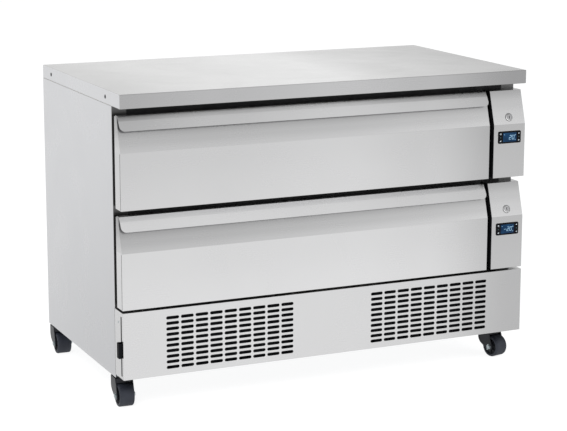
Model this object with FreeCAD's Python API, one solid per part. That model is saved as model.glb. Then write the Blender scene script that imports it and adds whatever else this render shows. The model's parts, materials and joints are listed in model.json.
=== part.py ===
import FreeCAD, Part
import math
import os

V = FreeCAD.Vector

# Refrigerated drawer counter: two full-width drawers, each with its own cooling
# circuit, over a ventilated machine compartment on four swivel castors.
# Millimetres. X runs to the right, the front faces -Y, Z is up from the floor.

# Whole counter
overall_width = 1280.0
overall_depth = 700.0
body_height = 800.0
castor_height = 94.0
front_depth = 70.0
sheet = 1.2
fold_radius = 2.0

# Worktop
worktop_thickness = 40.0
worktop_sheet = 1.5
worktop_return = 22.0

# Carcass
skirt_drop = 10.5
stile_width = 44.0
base_sheet = 2.0
side_insulation = 60.0
back_insulation = 60.0
air_bay_width = 92.0
frame_rail = 25.0
duct_setback = 4.0
vent_slot_length = 120.0
vent_slot_height = 6.0
vent_pitch = 16.0
vent_rows = 6

# Drawer fronts and control panels
front_height = 259.0
front_thickness = 46.0
top_gap = 22.0
mid_gap = 21.0
grille_gap = 7.5
slope_drop = 99.0
slope_setback = 30.0
panel_width = 107.0
panel_gap = 15.0
end_cap_thickness = 2.0

# Handle lip
lip_sheet = 1.5
lip_drop = 39.5
lip_bend_drop = 14.0
lip_bend_out = 11.5
lip_proud = 26.0
lip_side_inset = 3.0
lip_corner = 14.0
lip_hem = 3.0

# Gasket
gasket_width = 18.0
gasket_inset = 4.0
gasket_gap = 0.3
gasket_groove = 4.0

# Drawer tub
tub_sheet = 1.2
tub_height = 150.0
tub_back_gap = 44.0
tub_lift = 8.0
tub_rim = 6.0
tub_corner = 12.0

# Telescopic runners
runner_height = 46.0
runner_room = 13.0
runner_sheet = 1.6
runner_play = 0.3
runner_lift = 7.0
runner_front_gap = 5.0
runner_back_gap = 24.0

# Evaporator bay
duct_sheet = 1.5
duct_flange = 12.0
evaporator_width = 64.0
evaporator_length = 330.0
evaporator_height = 165.0
evaporator_back_gap = 30.0
evaporator_side_gap = 8.0
evaporator_fan_radius = 56.0
evaporator_fan_setback = 85.0
evaporator_fan_rise = 128.0
fin_thickness = 1.0
fin_pitch = 11.0
fin_spine = 2.0
coil_tube_radius = 5.0
coil_rows = 4

# Fans
fan_play = 1.5
fan_ring = 3.0
fan_depth = 18.0
fan_hub_radius = 18.0
fan_shaft_radius = 3.0
shaft_play = 0.05
fan_blades = 5
blade_thickness = 1.6
blade_pitch_deg = 32.0
motor_radius = 24.0
motor_length = 26.0
motor_gap = 2.0
motor_arm = 6.0

# Condensing units
condenser_width = 372.0
condenser_height = 168.0
condenser_depth = 44.0
condenser_front_gap = 48.0
shroud_depth = 30.0
shroud_sheet = 1.5
condenser_fan_radius = 68.0
compressor_radius = 76.0
compressor_height = 152.0
compressor_back_gap = 204.0
compressor_foot = 10.0
foot_radius = 13.0
foot_plate_x = 200.0
foot_plate_y = 130.0
foot_plate_sheet = 3.0
dome_rise = 34.0
pipe_radius = 5.0
pipe_bend = 30.0
pipe_level = 70.0

# Grille panel
slot_length = 38.4
slot_height = 9.2
slot_pitch_x = 44.0
slot_pitch_z = 15.9
slot_columns = 9
slot_rows = 10
left_field_start = 127.0
right_field_end = 122.0
field_bottom = 22.5
grille_flange = 24.0
grille_tab = 14.0

# Air filter that slides out to the left
filter_slot_width = 9.0
filter_slot_back = 15.5
filter_slot_bottom = 8.0
filter_slot_top = 12.0
filter_thickness = 6.0
filter_play = 0.3
filter_frame = 10.0
filter_mesh = 1.2
filter_ribs = 7
filter_overrun = 8.0
guide_wall = 2.0
guide_depth = 6.0
tab_depth = 20.0
tab_height = 43.0
tab_proud = 11.0
tab_drop = 10.0
tab_corner = 3.0

# Controllers
bezel_width = 78.0
bezel_height = 37.0
bezel_proud = 2.0
bezel_corner = 4.0
bezel_below_fold = 38.0
controller_width = 70.0
controller_height = 28.0
controller_length = 50.0
case_play = 0.3
window_width = 46.0
window_height = 27.0
window_thickness = 1.0
key_size = 6.0
key_column = 31.5
key_row = 11.0
key_thickness = 2.2
key_proud = 0.3
key_play = 0.2
key_room = 0.9

# Cam locks
lock_above_fold = 21.0
lock_flange_radius = 11.0
lock_flange = 2.0
lock_barrel_radius = 9.0
lock_barrel_length = 22.0
plug_radius = 6.0
plug_play = 0.05
plug_proud = 0.8
keyway_length = 8.0
keyway_width = 1.8
keyway_depth = 4.0
cam_length = 76.0
cam_width = 12.0
cam_thickness = 2.0
cam_gap = 0.4
cam_room = 3.0
lock_bore_play = 0.3

# Castors
castor_inset_left = 25.0
castor_inset_right = 53.0
castor_inset_front = 92.0
castor_inset_back = 31.0
castor_turn_left_deg = -3.0
castor_turn_right_deg = 13.0
castor_plate_x = 47.0
castor_plate_y = 60.0
castor_plate_sheet = 3.0
raceway_radius = 22.0
raceway_height = 6.0
raceway_gap = 0.3
kingpin_radius = 5.0
pin_play = 0.05
crown_height = 5.7
leg_thickness = 3.0
leg_gap = 1.5
wheel_radius = 32.0
wheel_width = 43.0
wheel_corner = 5.0
wheel_trail = 28.0
hub_recess = 4.0
hub_radius = 11.0
rim_wall = 6.0
axle_radius = 4.0
axle_play = 0.05
bolt_head_radius = 8.5
bolt_head_height = 4.5
leg_eye_radius = 13.0
leg_reach_front = 24.0
leg_reach_back = 20.0
leg_shoulder = 54.0
fork_web_low = 65.8

# Power inlet
gland_inset = 120.0
gland_rise = 60.0
gland_radius = 11.0
gland_play = 0.3
gland_bore = 5.0
gland_inside = 14.0
gland_outside = 8.0
gland_nut_radius = 14.0
gland_nut_height = 5.0

# Levels and planes that follow from the sizes above
half_width = overall_width / 2
front = -overall_depth / 2
back = overall_depth / 2
carcass_front = front + front_depth
floor_z = castor_height
top_z = castor_height + body_height
under_top = top_z - worktop_thickness
upper_top = under_top - top_gap
upper_bottom = upper_top - front_height
lower_top = upper_bottom - mid_gap
lower_bottom = lower_top - front_height
grille_top = lower_bottom - grille_gap
chamber_floor = grille_top + sheet
inner_left = -half_width + side_insulation
inner_right = half_width - side_insulation
inner_back = back - back_insulation
opening_right = inner_right - air_bay_width
duct_left = opening_right - duct_setback
front_right = half_width - panel_width - panel_gap
front_back = front + front_thickness
panel_left = half_width - panel_width
panel_middle = half_width - panel_width / 2
tub_left = inner_left + runner_room
tub_right = duct_left - runner_room
tub_back = inner_back - tub_back_gap
runner_front = carcass_front + sheet + runner_front_gap
runner_back = inner_back - runner_back_gap
evaporator_fan_y = carcass_front + evaporator_fan_setback
compressor_y = back - compressor_back_gap - compressor_radius
gland_x = -half_width + gland_inset
left_unit_x = -half_width + left_field_start + ((slot_columns - 1) * slot_pitch_x + slot_length) / 2
right_unit_x = half_width - right_field_end - ((slot_columns - 1) * slot_pitch_x + slot_length) / 2
drawers = {"upper": (upper_bottom, upper_top), "lower": (lower_bottom, lower_top)}


def box(x0, x1, y0, y1, z0, z1):
    return Part.makeBox(x1 - x0, y1 - y0, z1 - z0, V(x0, y0, z0))


def rod(start, direction, radius, length):
    return Part.makeCylinder(radius, length, start, direction)


def prism_along_x(points, x0, x1):
    corners = [V(x0, y, z) for y, z in points]
    return Part.Face(Part.makePolygon(corners + corners[:1])).extrude(V(x1 - x0, 0, 0))


def prism_along_z(points, z0, z1):
    corners = [V(x, y, z0) for x, y in points]
    return Part.Face(Part.makePolygon(corners + corners[:1])).extrude(V(0, 0, z1 - z0))


def fused(shapes):
    return shapes[0].multiFuse(shapes[1:]).removeSplitter()


def rounded_upright(x0, x1, z0, z1, radius, y0, y1):
    plate = box(x0, x1, y0, y1, z0, z1)
    return round_edges(plate, V(0, 1, 0), radius)


def round_edges(shape, direction, radius):
    chosen = [e for e in shape.Edges if abs(e.tangentAt(e.FirstParameter).dot(direction)) > 0.999]
    return shape.makeFillet(radius, chosen)


def opening_z(name):
    bottom, top = drawers[name]
    return bottom + frame_rail, top - frame_rail


def save(name, shapes):
    solids = shapes if isinstance(shapes, list) else [shapes]
    whole = solids[0] if len(solids) == 1 else Part.makeCompound(solids)
    whole.exportStep("parts/" + name + ".step")


def slope_y(z, name):
    bottom, top = drawers[name]
    fold_z = top - slope_drop
    return front + max(0.0, (z - fold_z) / slope_drop) * slope_setback


def worktop():
    slab = box(-half_width, half_width, front, back, under_top, top_z)
    slab = round_edges(slab, V(0, 0, 1), fold_radius)
    t = worktop_sheet
    hollow = box(-half_width + t, half_width - t, front + t, back - t, under_top + t, top_z - t)
    r = worktop_return
    mouth = box(-half_width + r, half_width - r, front + r, back - r, under_top, under_top + t)
    return slab.cut(hollow).cut(mouth)


def side_panel(side):
    outer = side * half_width
    inner = side * (half_width - sheet)
    stile = side * (half_width - stile_width)
    skirt = floor_z - skirt_drop
    skin = box(min(outer, inner), max(outer, inner), carcass_front, back, skirt, under_top)
    lip = box(min(outer, stile), max(outer, stile), carcass_front, carcass_front + sheet, floor_z, under_top)
    return fused([skin, lip])


def vent_slots(middle_x, y0, y1):
    rows = []
    for row in range(vent_rows):
        z = floor_z + base_sheet + 45 + row * vent_pitch
        x0 = middle_x - vent_slot_length / 2
        slot = box(x0, x0 + vent_slot_length, y0, y1, z, z + vent_slot_height)
        rows.append(round_edges(slot, V(0, 1, 0), vent_slot_height / 2 - 0.1))
    return rows


def back_panel():
    inner = half_width - sheet
    skin = box(-inner, inner, back - sheet, back, floor_z, under_top)
    cuts = []
    for middle_x in (left_unit_x, right_unit_x):
        cuts += vent_slots(middle_x, back - sheet - 1, back + 1)
    gland_z = floor_z + gland_rise
    cuts.append(rod(V(gland_x, back - sheet - 1, gland_z), V(0, 1, 0), gland_radius + gland_play, sheet + 2))
    return skin.cut(Part.makeCompound(cuts))


def base_plate():
    inner = half_width - sheet
    return box(-inner, inner, carcass_front + sheet, back - sheet, floor_z, floor_z + base_sheet)


def front_frame():
    inner = half_width - stile_width
    plate = box(-inner, inner, carcass_front, carcass_front + sheet, chamber_floor, under_top)
    for name in drawers:
        z0, z1 = opening_z(name)
        plate = plate.cut(box(inner_left, opening_right, carcass_front - 1, carcass_front + sheet + 1, z0, z1))
    return plate


def liner(name):
    z0, z1 = opening_z(name)
    y0 = carcass_front + sheet
    outer = box(inner_left - sheet, inner_right + sheet, y0, inner_back + sheet, z0 - sheet, z1 + sheet)
    return outer.cut(box(inner_left, inner_right, y0 - 1, inner_back, z0, z1))


def insulation():
    inner = half_width - sheet
    block = box(-inner, inner, carcass_front + sheet, back - sheet, chamber_floor, under_top)
    for name in drawers:
        z0, z1 = opening_z(name)
        y0 = carcass_front + sheet
        pocket = box(inner_left - sheet, inner_right + sheet, y0 - 1, inner_back + sheet, z0 - sheet, z1 + sheet)
        block = block.cut(pocket)
    return block


def front_profile(bottom, top, y_back, inset):
    fold_z = top - slope_drop
    slant = math.hypot(slope_setback, slope_drop)
    lean = slope_setback / slope_drop
    shift = inset * slant / slope_drop
    top_y = front + slope_setback + shift - inset * lean
    fold_shift = fold_z + inset * (slant - slope_drop) / slope_setback
    return [
        (y_back, top - inset),
        (top_y, top - inset),
        (front + inset, fold_shift),
        (front + inset, bottom + inset),
        (y_back, bottom + inset),
    ]


def control_panel(name):
    bottom, top = drawers[name]
    outer = prism_along_x(front_profile(bottom, top, carcass_front, 0), panel_left, half_width)
    inner = prism_along_x(front_profile(bottom, top, carcass_front + 1, sheet), panel_left - 1, half_width - sheet)
    shell = outer.cut(inner)
    z = top - slope_drop - bezel_below_fold
    w = controller_width / 2 + case_play
    h = controller_height / 2 + case_play
    cutout = box(panel_middle - w, panel_middle + w, front - 1, front + sheet + 1, z - h, z + h)
    bore = lock_rod(name, lock_barrel_radius + lock_bore_play, -lock_flange, 3 * lock_flange)
    return shell.cut(cutout).cut(bore)


def end_cap(name):
    bottom, top = drawers[name]
    profile = front_profile(bottom, top, carcass_front, sheet)
    cap = prism_along_x(profile, panel_left, panel_left + end_cap_thickness)
    return cap.cut(cam_sweep(name, panel_left + end_cap_thickness))


def lock_axis(name):
    slant = math.hypot(slope_setback, slope_drop)
    out = V(0, -slope_drop / slant, slope_setback / slant)
    z = drawers[name][1] - slope_drop + lock_above_fold
    return V(panel_middle, slope_y(z, name), z), out


def lock_rod(name, radius, depth0, depth1):
    centre, out = lock_axis(name)
    return rod(centre - out * depth1, out, radius, depth1 - depth0)


def lock_block(name, x0, x1, low, high, depth0, depth1):
    """A block that lies parallel to the slope, its heights and depths taken from the lock."""
    centre, out = lock_axis(name)
    up = V(0, out.z, -out.y)
    corners = [centre + up * h - out * d for h, d in ((low, depth0), (high, depth0), (high, depth1), (low, depth1))]
    return prism_along_x([(c.y, c.z) for c in corners], x0, x1)


def cam_sweep(name, x_edge):
    """The room that the turning cam needs on the left of x_edge."""
    reach = cam_length + cam_width / 2
    rise = math.sqrt(reach ** 2 - (panel_middle - x_edge) ** 2) + cam_room
    depth = lock_barrel_length + cam_gap
    x0 = panel_middle - reach - cam_room
    low = -cam_width / 2 - cam_room
    return lock_block(name, x0, x_edge + 1, low, rise, depth - cam_room, depth + cam_thickness + cam_room)


def lock_housing(name):
    flange = lock_rod(name, lock_flange_radius, -lock_flange, 0)
    barrel = lock_rod(name, lock_barrel_radius, 0, lock_barrel_length)
    bore = lock_rod(name, plug_radius, -lock_flange - 1, lock_barrel_length + 1)
    return fused([flange, barrel]).cut(bore)


def lock_plug(name):
    tail = lock_barrel_length + cam_gap
    face = -lock_flange - plug_proud
    plug = lock_rod(name, plug_radius - plug_play, face, tail)
    w, h = keyway_width / 2, keyway_length / 2
    plug = plug.cut(lock_block(name, panel_middle - w, panel_middle + w, -h, h, face - 1, face + keyway_depth))
    w = cam_width / 2
    cam = lock_block(name, panel_middle - w, panel_middle + w, -w, cam_length + w, tail, tail + cam_thickness)
    return fused([plug, cam])


def controller(name):
    z = drawers[name][1] - slope_drop - bezel_below_fold
    w, h = bezel_width / 2, bezel_height / 2
    bezel = rounded_upright(
        panel_middle - w, panel_middle + w, z - h, z + h, bezel_corner, front - bezel_proud, front
    )
    w, h = controller_width / 2, controller_height / 2
    case = box(panel_middle - w, panel_middle + w, front, front + controller_length, z - h, z + h)
    whole = fused([bezel, case])
    w, h = window_width / 2, window_height / 2
    face = front - bezel_proud
    whole = whole.cut(box(panel_middle - w, panel_middle + w, face - 1, face + window_thickness, z - h, z + h))
    half = key_size / 2 + key_play
    for kx, kz in key_places(name).values():
        deep = face - key_proud + key_thickness + key_room
        whole = whole.cut(box(kx - half, kx + half, face - 1, deep, kz - half, kz + half))
    return whole


def key_places(name):
    z = drawers[name][1] - slope_drop - bezel_below_fold
    return {
        "set": (panel_middle - key_column, z + key_row),
        "light": (panel_middle - key_column, z - key_row),
        "up": (panel_middle + key_column, z + key_row),
        "down": (panel_middle + key_column, z - key_row),
    }


def key(kx, kz):
    half = key_size / 2
    y0 = front - bezel_proud - key_proud
    return rounded_upright(kx - half, kx + half, kz - half, kz + half, 1.0, y0, y0 + key_thickness)


def display_window(name):
    z = drawers[name][1] - slope_drop - bezel_below_fold
    w, h = window_width / 2, window_height / 2
    face = front - bezel_proud
    return box(panel_middle - w, panel_middle + w, face, face + window_thickness, z - h, z + h)


def front_skin(name):
    bottom, top = drawers[name]
    top -= lip_sheet
    outer = prism_along_x(front_profile(bottom, top, front_back, 0), -half_width, front_right)
    inner = prism_along_x(
        front_profile(bottom, top, front_back + 1, sheet), -half_width + sheet, front_right - sheet
    )
    return outer.cut(inner).cut(cam_sweep(name, front_right))


def front_core(name):
    bottom, top = drawers[name]
    profile = front_profile(bottom, top - lip_sheet, front_back, sheet)
    core = prism_along_x(profile, -half_width + sheet, front_right - sheet)
    return core.cut(cam_sweep(name, front_right))


def handle_lip(name):
    top = drawers[name][1]
    edge_y = front + slope_setback
    bend = (edge_y - lip_bend_out, top - lip_bend_drop)
    tip = (edge_y - lip_proud, top - lip_drop)
    t = lip_sheet
    points = [
        (front_back, top),
        (edge_y, top),
        bend,
        tip,
        (tip[0] + lip_hem, tip[1]),
        (bend[0] + t * 1.4, bend[1] - t * 0.2),
        (edge_y, top - t),
        (front_back, top - t),
    ]
    x0 = -half_width + lip_side_inset
    lip = prism_along_x(points, x0, front_right)
    r = lip_corner
    outline = rounded_upright(x0, front_right, tip[1], top + r * 2, r, front - 1, front_back + 1)
    return lip.common(outline)


def gasket(name):
    bottom, top = drawers[name]
    g, w = gasket_inset, gasket_width
    x0, x1, z0, z1 = -half_width + g, front_right - g, bottom + g, top - g
    y0, y1 = front_back, carcass_front - gasket_gap
    ring = box(x0, x1, y0, y1, z0, z1).cut(box(x0 + w, x1 - w, y0 - 1, y1 + 1, z0 + w, z1 - w))
    d = gasket_groove / 2
    middle = (y0 + y1) / 2
    groove = box(x0 - 1, x1 + 1, middle - d, middle + d, z0 - 1, z1 + 1)
    keep = box(x0 + d, x1 - d, middle - d - 1, middle + d + 1, z0 + d, z1 - d)
    return ring.cut(groove.cut(keep))


def tub(name):
    z0 = opening_z(name)[0] + tub_lift
    z1 = z0 + tub_height
    y0, y1 = front_back, tub_back
    outer = round_edges(box(tub_left, tub_right, y0, y1, z0, z1), V(0, 0, 1), tub_corner)
    t = tub_sheet
    inside = box(tub_left + t, tub_right - t, y0 + t, y1 - t, z0 + t, z1 + 1)
    inside = round_edges(inside, V(0, 0, 1), tub_corner - t)
    shell = outer.cut(inside)
    rim = box(tub_left - tub_rim, tub_right + tub_rim, y0 + gasket_width, y1 + tub_rim, z1 - t, z1)
    return fused([shell, rim.cut(inside)])


def channel(x_web, into, z_mid, height, depth, y0, y1):
    """A runner member: an upright web at x_web with two flanges that reach into the next member."""
    t = runner_sheet
    far = x_web + into * depth
    web_end = x_web + into * t
    top, low = z_mid + height / 2, z_mid - height / 2
    web = box(min(x_web, web_end), max(x_web, web_end), y0, y1, low, top)
    roof = box(min(x_web, far), max(x_web, far), y0, y1, top - t, top)
    sole = box(min(x_web, far), max(x_web, far), y0, y1, low, low + t)
    return fused([web, roof, sole])


def runner(name, member):
    z_mid = opening_z(name)[0] + runner_lift + runner_height / 2
    t, p = runner_sheet, runner_play
    y0, y1 = runner_front, runner_back
    flange = runner_room - t - 2 * p
    pair = []
    for wall, into in ((inner_left, 1), (duct_left, -1)):
        if member == "rail":
            pair.append(channel(wall, into, z_mid, runner_height, flange, y0, y1))
        elif member == "middle":
            height = runner_height - 2 * (t + p)
            web = wall + into * (t + p)
            pair.append(channel(web, into, z_mid, height, flange - t, y0, y1))
        else:
            height = runner_height - 4 * (t + p)
            web = wall + into * runner_room
            pair.append(channel(web, -into, z_mid, height, flange - 2 * t, front_back, tub_back - tub_corner))
    return pair


def pitched_blade(reach, hub, thickness):
    chord = fan_depth / math.cos(math.radians(blade_pitch_deg)) * 0.8
    blade = Part.makeBox(reach - hub + 2, chord, thickness, V(hub - 2, -chord / 2, -thickness / 2))
    blade.rotate(V(0, 0, 0), V(1, 0, 0), 90 - blade_pitch_deg)
    return blade


def rotor(radius):
    """A propeller about +Z, its hub from z = -depth/2 to +depth/2."""
    hub = rod(V(0, 0, -fan_depth / 2), V(0, 0, 1), fan_hub_radius, fan_depth)
    blades = []
    for index in range(fan_blades):
        blade = pitched_blade(radius, fan_hub_radius, blade_thickness)
        blade.rotate(V(0, 0, 0), V(0, 0, 1), index * 360 / fan_blades)
        blades.append(blade)
    trim = rod(V(0, 0, -fan_depth), V(0, 0, 1), radius, 2 * fan_depth)
    whole = fused([hub] + blades).common(trim)
    bore = rod(V(0, 0, -fan_depth), V(0, 0, 1), fan_shaft_radius + shaft_play, 2 * fan_depth)
    return whole.cut(bore)


def fan_mount(radius, plate_z):
    """Motor, shaft and arms behind a rotor at the origin, its air ring round the rotor."""
    ring_in = radius + fan_play
    ring_out = ring_in + fan_ring
    ring = rod(V(0, 0, plate_z), V(0, 0, 1), ring_out, fan_depth / 2 + motor_gap + motor_arm - plate_z)
    ring = ring.cut(rod(V(0, 0, plate_z - 1), V(0, 0, 1), ring_in, 4 * fan_depth))
    motor_z = fan_depth / 2 + motor_gap
    motor = rod(V(0, 0, motor_z), V(0, 0, 1), motor_radius, motor_length)
    shaft = rod(V(0, 0, -fan_depth / 2), V(0, 0, 1), fan_shaft_radius, fan_depth + motor_gap + 1)
    arms = []
    for index in range(4):
        arm = Part.makeBox(ring_out - 1, motor_arm, motor_arm, V(0, -motor_arm / 2, motor_z))
        arm.rotate(V(0, 0, 0), V(0, 0, 1), 45 + index * 90)
        arms.append(arm)
    return fused([ring, motor, shaft] + arms)


def fan_axis_along_x(shape, x, y, z):
    turned = shape.copy()
    turned.rotate(V(0, 0, 0), V(0, 1, 0), 90)
    turned.translate(V(x, y, z))
    return turned


def fan_axis_along_y(shape, x, y, z):
    turned = shape.copy()
    turned.rotate(V(0, 0, 0), V(1, 0, 0), -90)
    turned.translate(V(x, y, z))
    return turned


def evaporator_fan_place(name):
    return duct_left + duct_sheet + fan_depth / 2, evaporator_fan_y, opening_z(name)[0] + evaporator_fan_rise


def air_duct(name):
    z0, z1 = opening_z(name)
    x0, x1 = duct_left, duct_left + duct_sheet
    plate = box(x0, x1, runner_front, inner_back, z0, z1)
    foot = box(x0, x0 + duct_flange, runner_front, inner_back, z0, z0 + duct_sheet)
    head = box(x0, x0 + duct_flange, runner_front, inner_back, z1 - duct_sheet, z1)
    fx, fy, fz = evaporator_fan_place(name)
    hole = rod(V(x0 - 1, fy, fz), V(1, 0, 0), evaporator_fan_radius + fan_play, duct_sheet + duct_flange + 2)
    returns = []
    for index in range(6):
        y = inner_back - 60 - index * 40
        returns.append(box(x0 - 1, x1 + 1, y, y + 20, fz - 30, fz + 45))
    mount = fan_axis_along_x(fan_mount(evaporator_fan_radius, -fan_depth / 2), fx, fy, fz)
    sheet_part = fused([plate, foot, head]).cut(Part.makeCompound([hole] + returns))
    return fused([sheet_part, mount])


def fin_comb(width, depth, height, pitch):
    """Upright fins on a thin spine, as one outline in plan, from x = 0 and y = 0."""
    points = [(0, 0)]
    x = 0.0
    while x + pitch <= width - fin_thickness:
        points += [(x + fin_thickness, 0), (x + fin_thickness, depth - fin_spine)]
        points += [(x + pitch, depth - fin_spine), (x + pitch, 0)]
        x += pitch
    points += [(x + fin_thickness, 0), (x + fin_thickness, depth), (0, depth)]
    return prism_along_z(points, 0, height), x + fin_thickness


def coil(width, depth, height, pitch):
    comb, length = fin_comb(width, depth, height, pitch)
    bends = []
    rise = height / (coil_rows + 1)
    for row in range(coil_rows):
        z = (row + 1) * rise
        for x, out in ((0, -1), (length, 1)):
            bends.append(rod(V(x, depth / 2, z), V(out, 0, 0), coil_tube_radius, 2 * coil_tube_radius))
    return fused([comb] + bends)


def evaporator(name):
    block = coil(evaporator_length, evaporator_width, evaporator_height, fin_pitch)
    block.rotate(V(0, 0, 0), V(0, 0, 1), 90)
    block.translate(V(inner_right - evaporator_side_gap, 0, 0))
    y0 = inner_back - evaporator_back_gap - evaporator_length
    z0 = opening_z(name)[0]
    block.translate(V(0, y0, z0))
    return block


def condenser(unit_x):
    block = coil(condenser_width, condenser_depth, condenser_height, fin_pitch)
    y0 = front + condenser_front_gap
    block.translate(V(unit_x - condenser_width / 2, y0, floor_z + base_sheet))
    return block


def condenser_fan_place(unit_x):
    y = front + condenser_front_gap + condenser_depth + shroud_depth - fan_depth / 2
    return unit_x, y, floor_z + base_sheet + condenser_height / 2


def shroud(unit_x):
    y0 = front + condenser_front_gap + condenser_depth
    y1 = y0 + shroud_depth
    x0, x1 = unit_x - condenser_width / 2, unit_x + condenser_width / 2 - fin_pitch
    z0 = floor_z + base_sheet
    z1 = z0 + condenser_height
    t = shroud_sheet
    hood = box(x0, x1, y0, y1, z0, z1).cut(box(x0 + t, x1 - t, y0 - 1, y1 - t, z0 + t, z1 - t))
    fx, fy, fz = condenser_fan_place(unit_x)
    hole = rod(V(fx, y0 - 1, fz), V(0, 1, 0), condenser_fan_radius + fan_play, shroud_depth + 2)
    mount = fan_axis_along_y(fan_mount(condenser_fan_radius, -fan_depth / 2), fx, fy, fz)
    return fused([hood.cut(hole), mount])


def compressor(unit_x):
    z0 = floor_z + base_sheet
    plate_z = z0 + compressor_foot
    y = compressor_y
    w, d = foot_plate_x / 2, foot_plate_y / 2
    plate = box(unit_x - w, unit_x + w, y - d, y + d, plate_z, plate_z + foot_plate_sheet)
    feet = []
    for sx in (-1, 1):
        for sy in (-1, 1):
            fx = unit_x + sx * (w - foot_radius - 2)
            fy = y + sy * (d - foot_radius - 2)
            feet.append(rod(V(fx, fy, z0), V(0, 0, 1), foot_radius, compressor_foot))
    r = compressor_radius
    low = plate_z
    shell = rod(V(unit_x, y, low), V(0, 0, 1), r, compressor_height)
    crown = [e for e in shell.Edges if e.BoundBox.ZMin > low + 1 and abs(e.BoundBox.ZLength) < 1]
    shell = shell.makeFillet(dome_rise, crown)
    terminal = box(unit_x - 28, unit_x + 28, y + r - 12, y + r + 24, low + 30, low + 90)
    return fused([shell, plate, terminal] + feet)


def bent_pipe(points):
    """Straight runs joined by tangent arcs of the pipe's bend radius."""
    edges = []
    start = points[0]
    for before, corner, after in zip(points, points[1:], points[2:]):
        into = (corner - before).normalize()
        onward = (after - corner).normalize()
        turn = math.acos(into.dot(onward))
        run = pipe_bend * math.tan(turn / 2)
        first, last = corner - into * run, corner + onward * run
        centre_way = (onward - into).normalize()
        middle = corner + centre_way * (pipe_bend / math.cos(turn / 2) - pipe_bend)
        edges.append(Part.LineSegment(start, first).toShape())
        edges.append(Part.Arc(first, middle, last).toShape())
        start = last
    edges.append(Part.LineSegment(start, points[-1]).toShape())
    path = Part.Wire(edges)
    ring = Part.Wire(Part.makeCircle(pipe_radius, points[0], points[1] - points[0]))
    return path.makePipeShell([ring], True, False)


def refrigerant_pipes():
    pipes = []
    z0 = floor_z + base_sheet + compressor_foot
    for unit_x in (left_unit_x, right_unit_x):
        level = z0 + pipe_level
        side_x = unit_x + condenser_width / 2 + 2 * coil_tube_radius + 20
        coil_y = front + condenser_front_gap + condenser_depth / 2
        coil_end = unit_x - condenser_width / 2 + coil_length() + 2 * coil_tube_radius
        coil_z = floor_z + base_sheet + 2 * condenser_height / (coil_rows + 1)
        pipes.append(bent_pipe([
            V(unit_x + compressor_radius, compressor_y, level),
            V(side_x + 20, compressor_y, level),
            V(side_x + 20, coil_y, coil_z),
            V(coil_end, coil_y, coil_z),
        ]))
        top = z0 + compressor_height
        pipes.append(rod(V(unit_x, compressor_y, top), V(0, 0, 1), pipe_radius, chamber_floor - top))
    return pipes


def coil_length():
    return math.floor((condenser_width - fin_thickness) / fin_pitch) * fin_pitch + fin_thickness


def obround(x_middle, y, z_middle):
    half = (slot_length - slot_height) / 2
    r = slot_height / 2
    x0, x1 = x_middle - half, x_middle + half
    low, top = z_middle - r, z_middle + r
    edges = [
        Part.LineSegment(V(x0, y, top), V(x1, y, top)).toShape(),
        Part.Arc(V(x1, y, top), V(x1 + r, y, z_middle), V(x1, y, low)).toShape(),
        Part.LineSegment(V(x1, y, low), V(x0, y, low)).toShape(),
        Part.Arc(V(x0, y, low), V(x0 - r, y, z_middle), V(x0, y, top)).toShape(),
    ]
    return Part.Wire(edges)


def grille_face():
    y = front
    corners = [V(-half_width, y, floor_z), V(half_width, y, floor_z)]
    corners += [V(half_width, y, grille_top), V(-half_width, y, grille_top)]
    face = Part.Face(Part.makePolygon(corners + corners[:1]))
    field = (slot_columns - 1) * slot_pitch_x
    left = -half_width + left_field_start + slot_length / 2
    right = half_width - right_field_end - slot_length / 2 - field
    holes = []
    for start in (left, right):
        for column in range(slot_columns):
            for row in range(slot_rows):
                z = floor_z + field_bottom + row * slot_pitch_z
                holes.append(Part.Face(obround(start + column * slot_pitch_x, y, z)))
    return face.cut(Part.makeCompound(holes)).extrude(V(0, sheet, 0))


def filter_span():
    low = floor_z + filter_slot_bottom + filter_play
    high = grille_top - filter_slot_top - filter_play
    return low, high


def filter_guides():
    y = front + filter_slot_back
    groove = filter_thickness / 2 + filter_play
    wall = groove + guide_wall
    low, high = filter_span()
    x = half_width - sheet
    sole = box(-x, x, y - wall, y + wall, floor_z + sheet, low + guide_depth)
    sole = sole.cut(box(-x, x, y - groove, y + groove, low - filter_play, low + guide_depth + 1))
    roof = box(-x, x, y - wall, y + wall, high - guide_depth, grille_top - sheet)
    roof = roof.cut(box(-x, x, y - groove, y + groove, high - guide_depth - 1, high + filter_play))
    return [sole, roof]


def grille_panel():
    inner = half_width - sheet
    flange_back = front + grille_flange
    parts = [grille_face()]
    parts.append(box(-half_width, half_width, front, flange_back, floor_z, floor_z + sheet))
    parts.append(box(-half_width, half_width, front, carcass_front, grille_top - sheet, grille_top))
    for side in (-1, 1):
        x0, x1 = sorted((side * half_width, side * inner))
        parts.append(box(x0, x1, front, carcass_front, floor_z, grille_top))
        x0, x1 = sorted((side * half_width, side * (half_width - grille_tab)))
        parts.append(box(x0, x1, carcass_front - sheet, carcass_front, floor_z, grille_top))
    y = front + filter_slot_back
    w = filter_slot_width / 2
    slot = box(
        -half_width - 1, -inner + 1, y - w, y + w, floor_z + filter_slot_bottom, grille_top - filter_slot_top
    )
    return fused(parts + filter_guides()).cut(slot)


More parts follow.
